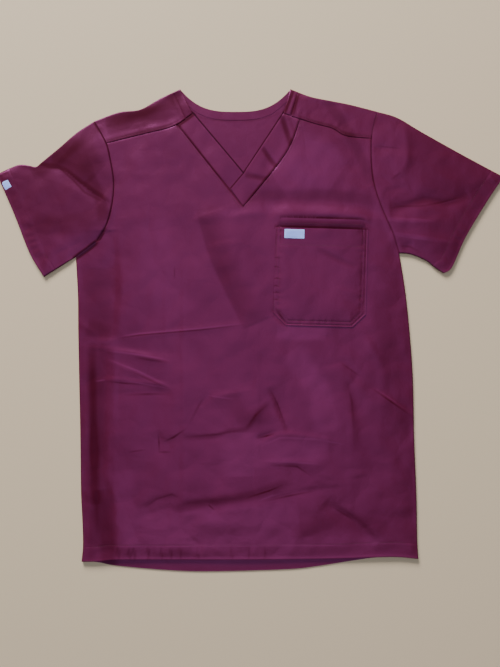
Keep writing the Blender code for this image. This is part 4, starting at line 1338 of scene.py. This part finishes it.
studio = {
    "cameraHeight": 0.9025,
    "fieldLevel": 0.0025,  # the level above z = 0 at which the field is measured
    "cameraPlace": (-0.0004, -0.0046),
    "fieldHeight": 0.98,  # what the picture takes in from top to bottom, in metres
    "sensor": 24.0,
    "floorColour": (0.71, 0.57, 0.40, 1),
    "floorRoughness": 0.75,
    "floorDrop": 0.0004,  # the floor is this far below z = 0, so that no cloth touches it
    "skyColour": (0.92, 0.95, 1.0, 1),
    "skyStrength": 0.13,
}


def makeFloor():
    grid = bmesh.new()
    bmesh.ops.create_grid(grid, x_segments=1, y_segments=1, size=6)
    bmesh.ops.translate(grid, verts=grid.verts, vec=(0, 0, -studio["floorDrop"]))
    floor = placed("floor", meshOf("floor", grid))
    material, shader, _ = newMaterial("paleFloor")
    feed(shader, {"Base Color": studio["floorColour"], "Roughness": studio["floorRoughness"]})
    floor.data.materials.append(material)


def addPanel(name, place, target, size, power, colour):
    light = bpy.data.lights.new(name, "AREA")
    light.shape = "RECTANGLE"
    light.size, light.size_y = size
    light.energy = power
    light.color = colour
    lamp = placed(name, light)
    lamp.location = place
    lamp.rotation_euler = (Vector(target) - Vector(place)).to_track_quat("-Z", "Y").to_euler()


def makeStudio():
    addPanel("windowLight", (-1.35, 4.0, 1.75), (0, 0, 0), (2.2, 1.4), 440, (1.0, 0.97, 0.94))
    addPanel("ceilingLight", (-0.05, -0.05, 1.9), (-0.05, -0.05, 0), (1.7, 2.3), 12, (0.84, 0.9, 1.0))
    world = bpy.context.scene.world or bpy.data.worlds.new("studio")
    bpy.context.scene.world = world
    world.use_nodes = True
    sky = world.node_tree.nodes["Background"]
    feed(sky, {"Color": studio["skyColour"], "Strength": studio["skyStrength"]})
    lens = bpy.data.cameras.new("camera")
    lens.sensor_width = studio["sensor"]
    reachDown = studio["cameraHeight"] - studio["fieldLevel"]
    lens.lens = lens.sensor_width * reachDown / studio["fieldHeight"]
    camera = placed("camera", lens)
    camera.location = (*studio["cameraPlace"], studio["cameraHeight"])
    bpy.context.scene.camera = camera


makeFloor()
makeStudio()
makeBack()
makeFront()
makeYoke()
makeSleeve("sleeveLeft", "sleeve_left", leftArmhole, leftArmholeTop,
           leftCuff, leftSleeveFold, leftUnderarm, -1)
makeSleeve("sleeveRight", "sleeve_right", rightArmhole, rightArmholeTop,
           rightCuff, rightSleeveFold, rightUnderarm, 1)
makeBandBack()
leftInnerLine = np.array([bandLeftInner, bandCrossing, leftBandEnd])
rightInnerLine = np.array([rightBandEnd, bandCrossing, bandRightInner])
makeBandHalf("neckBandLeft", "neckband_left", leftInnerLine, leftV,
             [np.array([bandLeftInner, bandLeftOuter])], True)
makeBandHalf("neckBandRight", "neckband_right", rightInnerLine, rightV,
             [np.array([bandRightInner, bandRightOuter])], False)
makePocketLayer("pocketRear", "pocket_rear", pocket["rearLift"], rearMouth)
makePocketLayer("pocketFront", "pocket_front", pocket["frontLift"], pocketMouth)
makeTab("pocketTab", ["pocketFront"], pocketTop, pocket["frontLift"], pocketMouth)
makeTab("sleeveTab", ["sleeveLeft"], clothTop)
makeSeams()
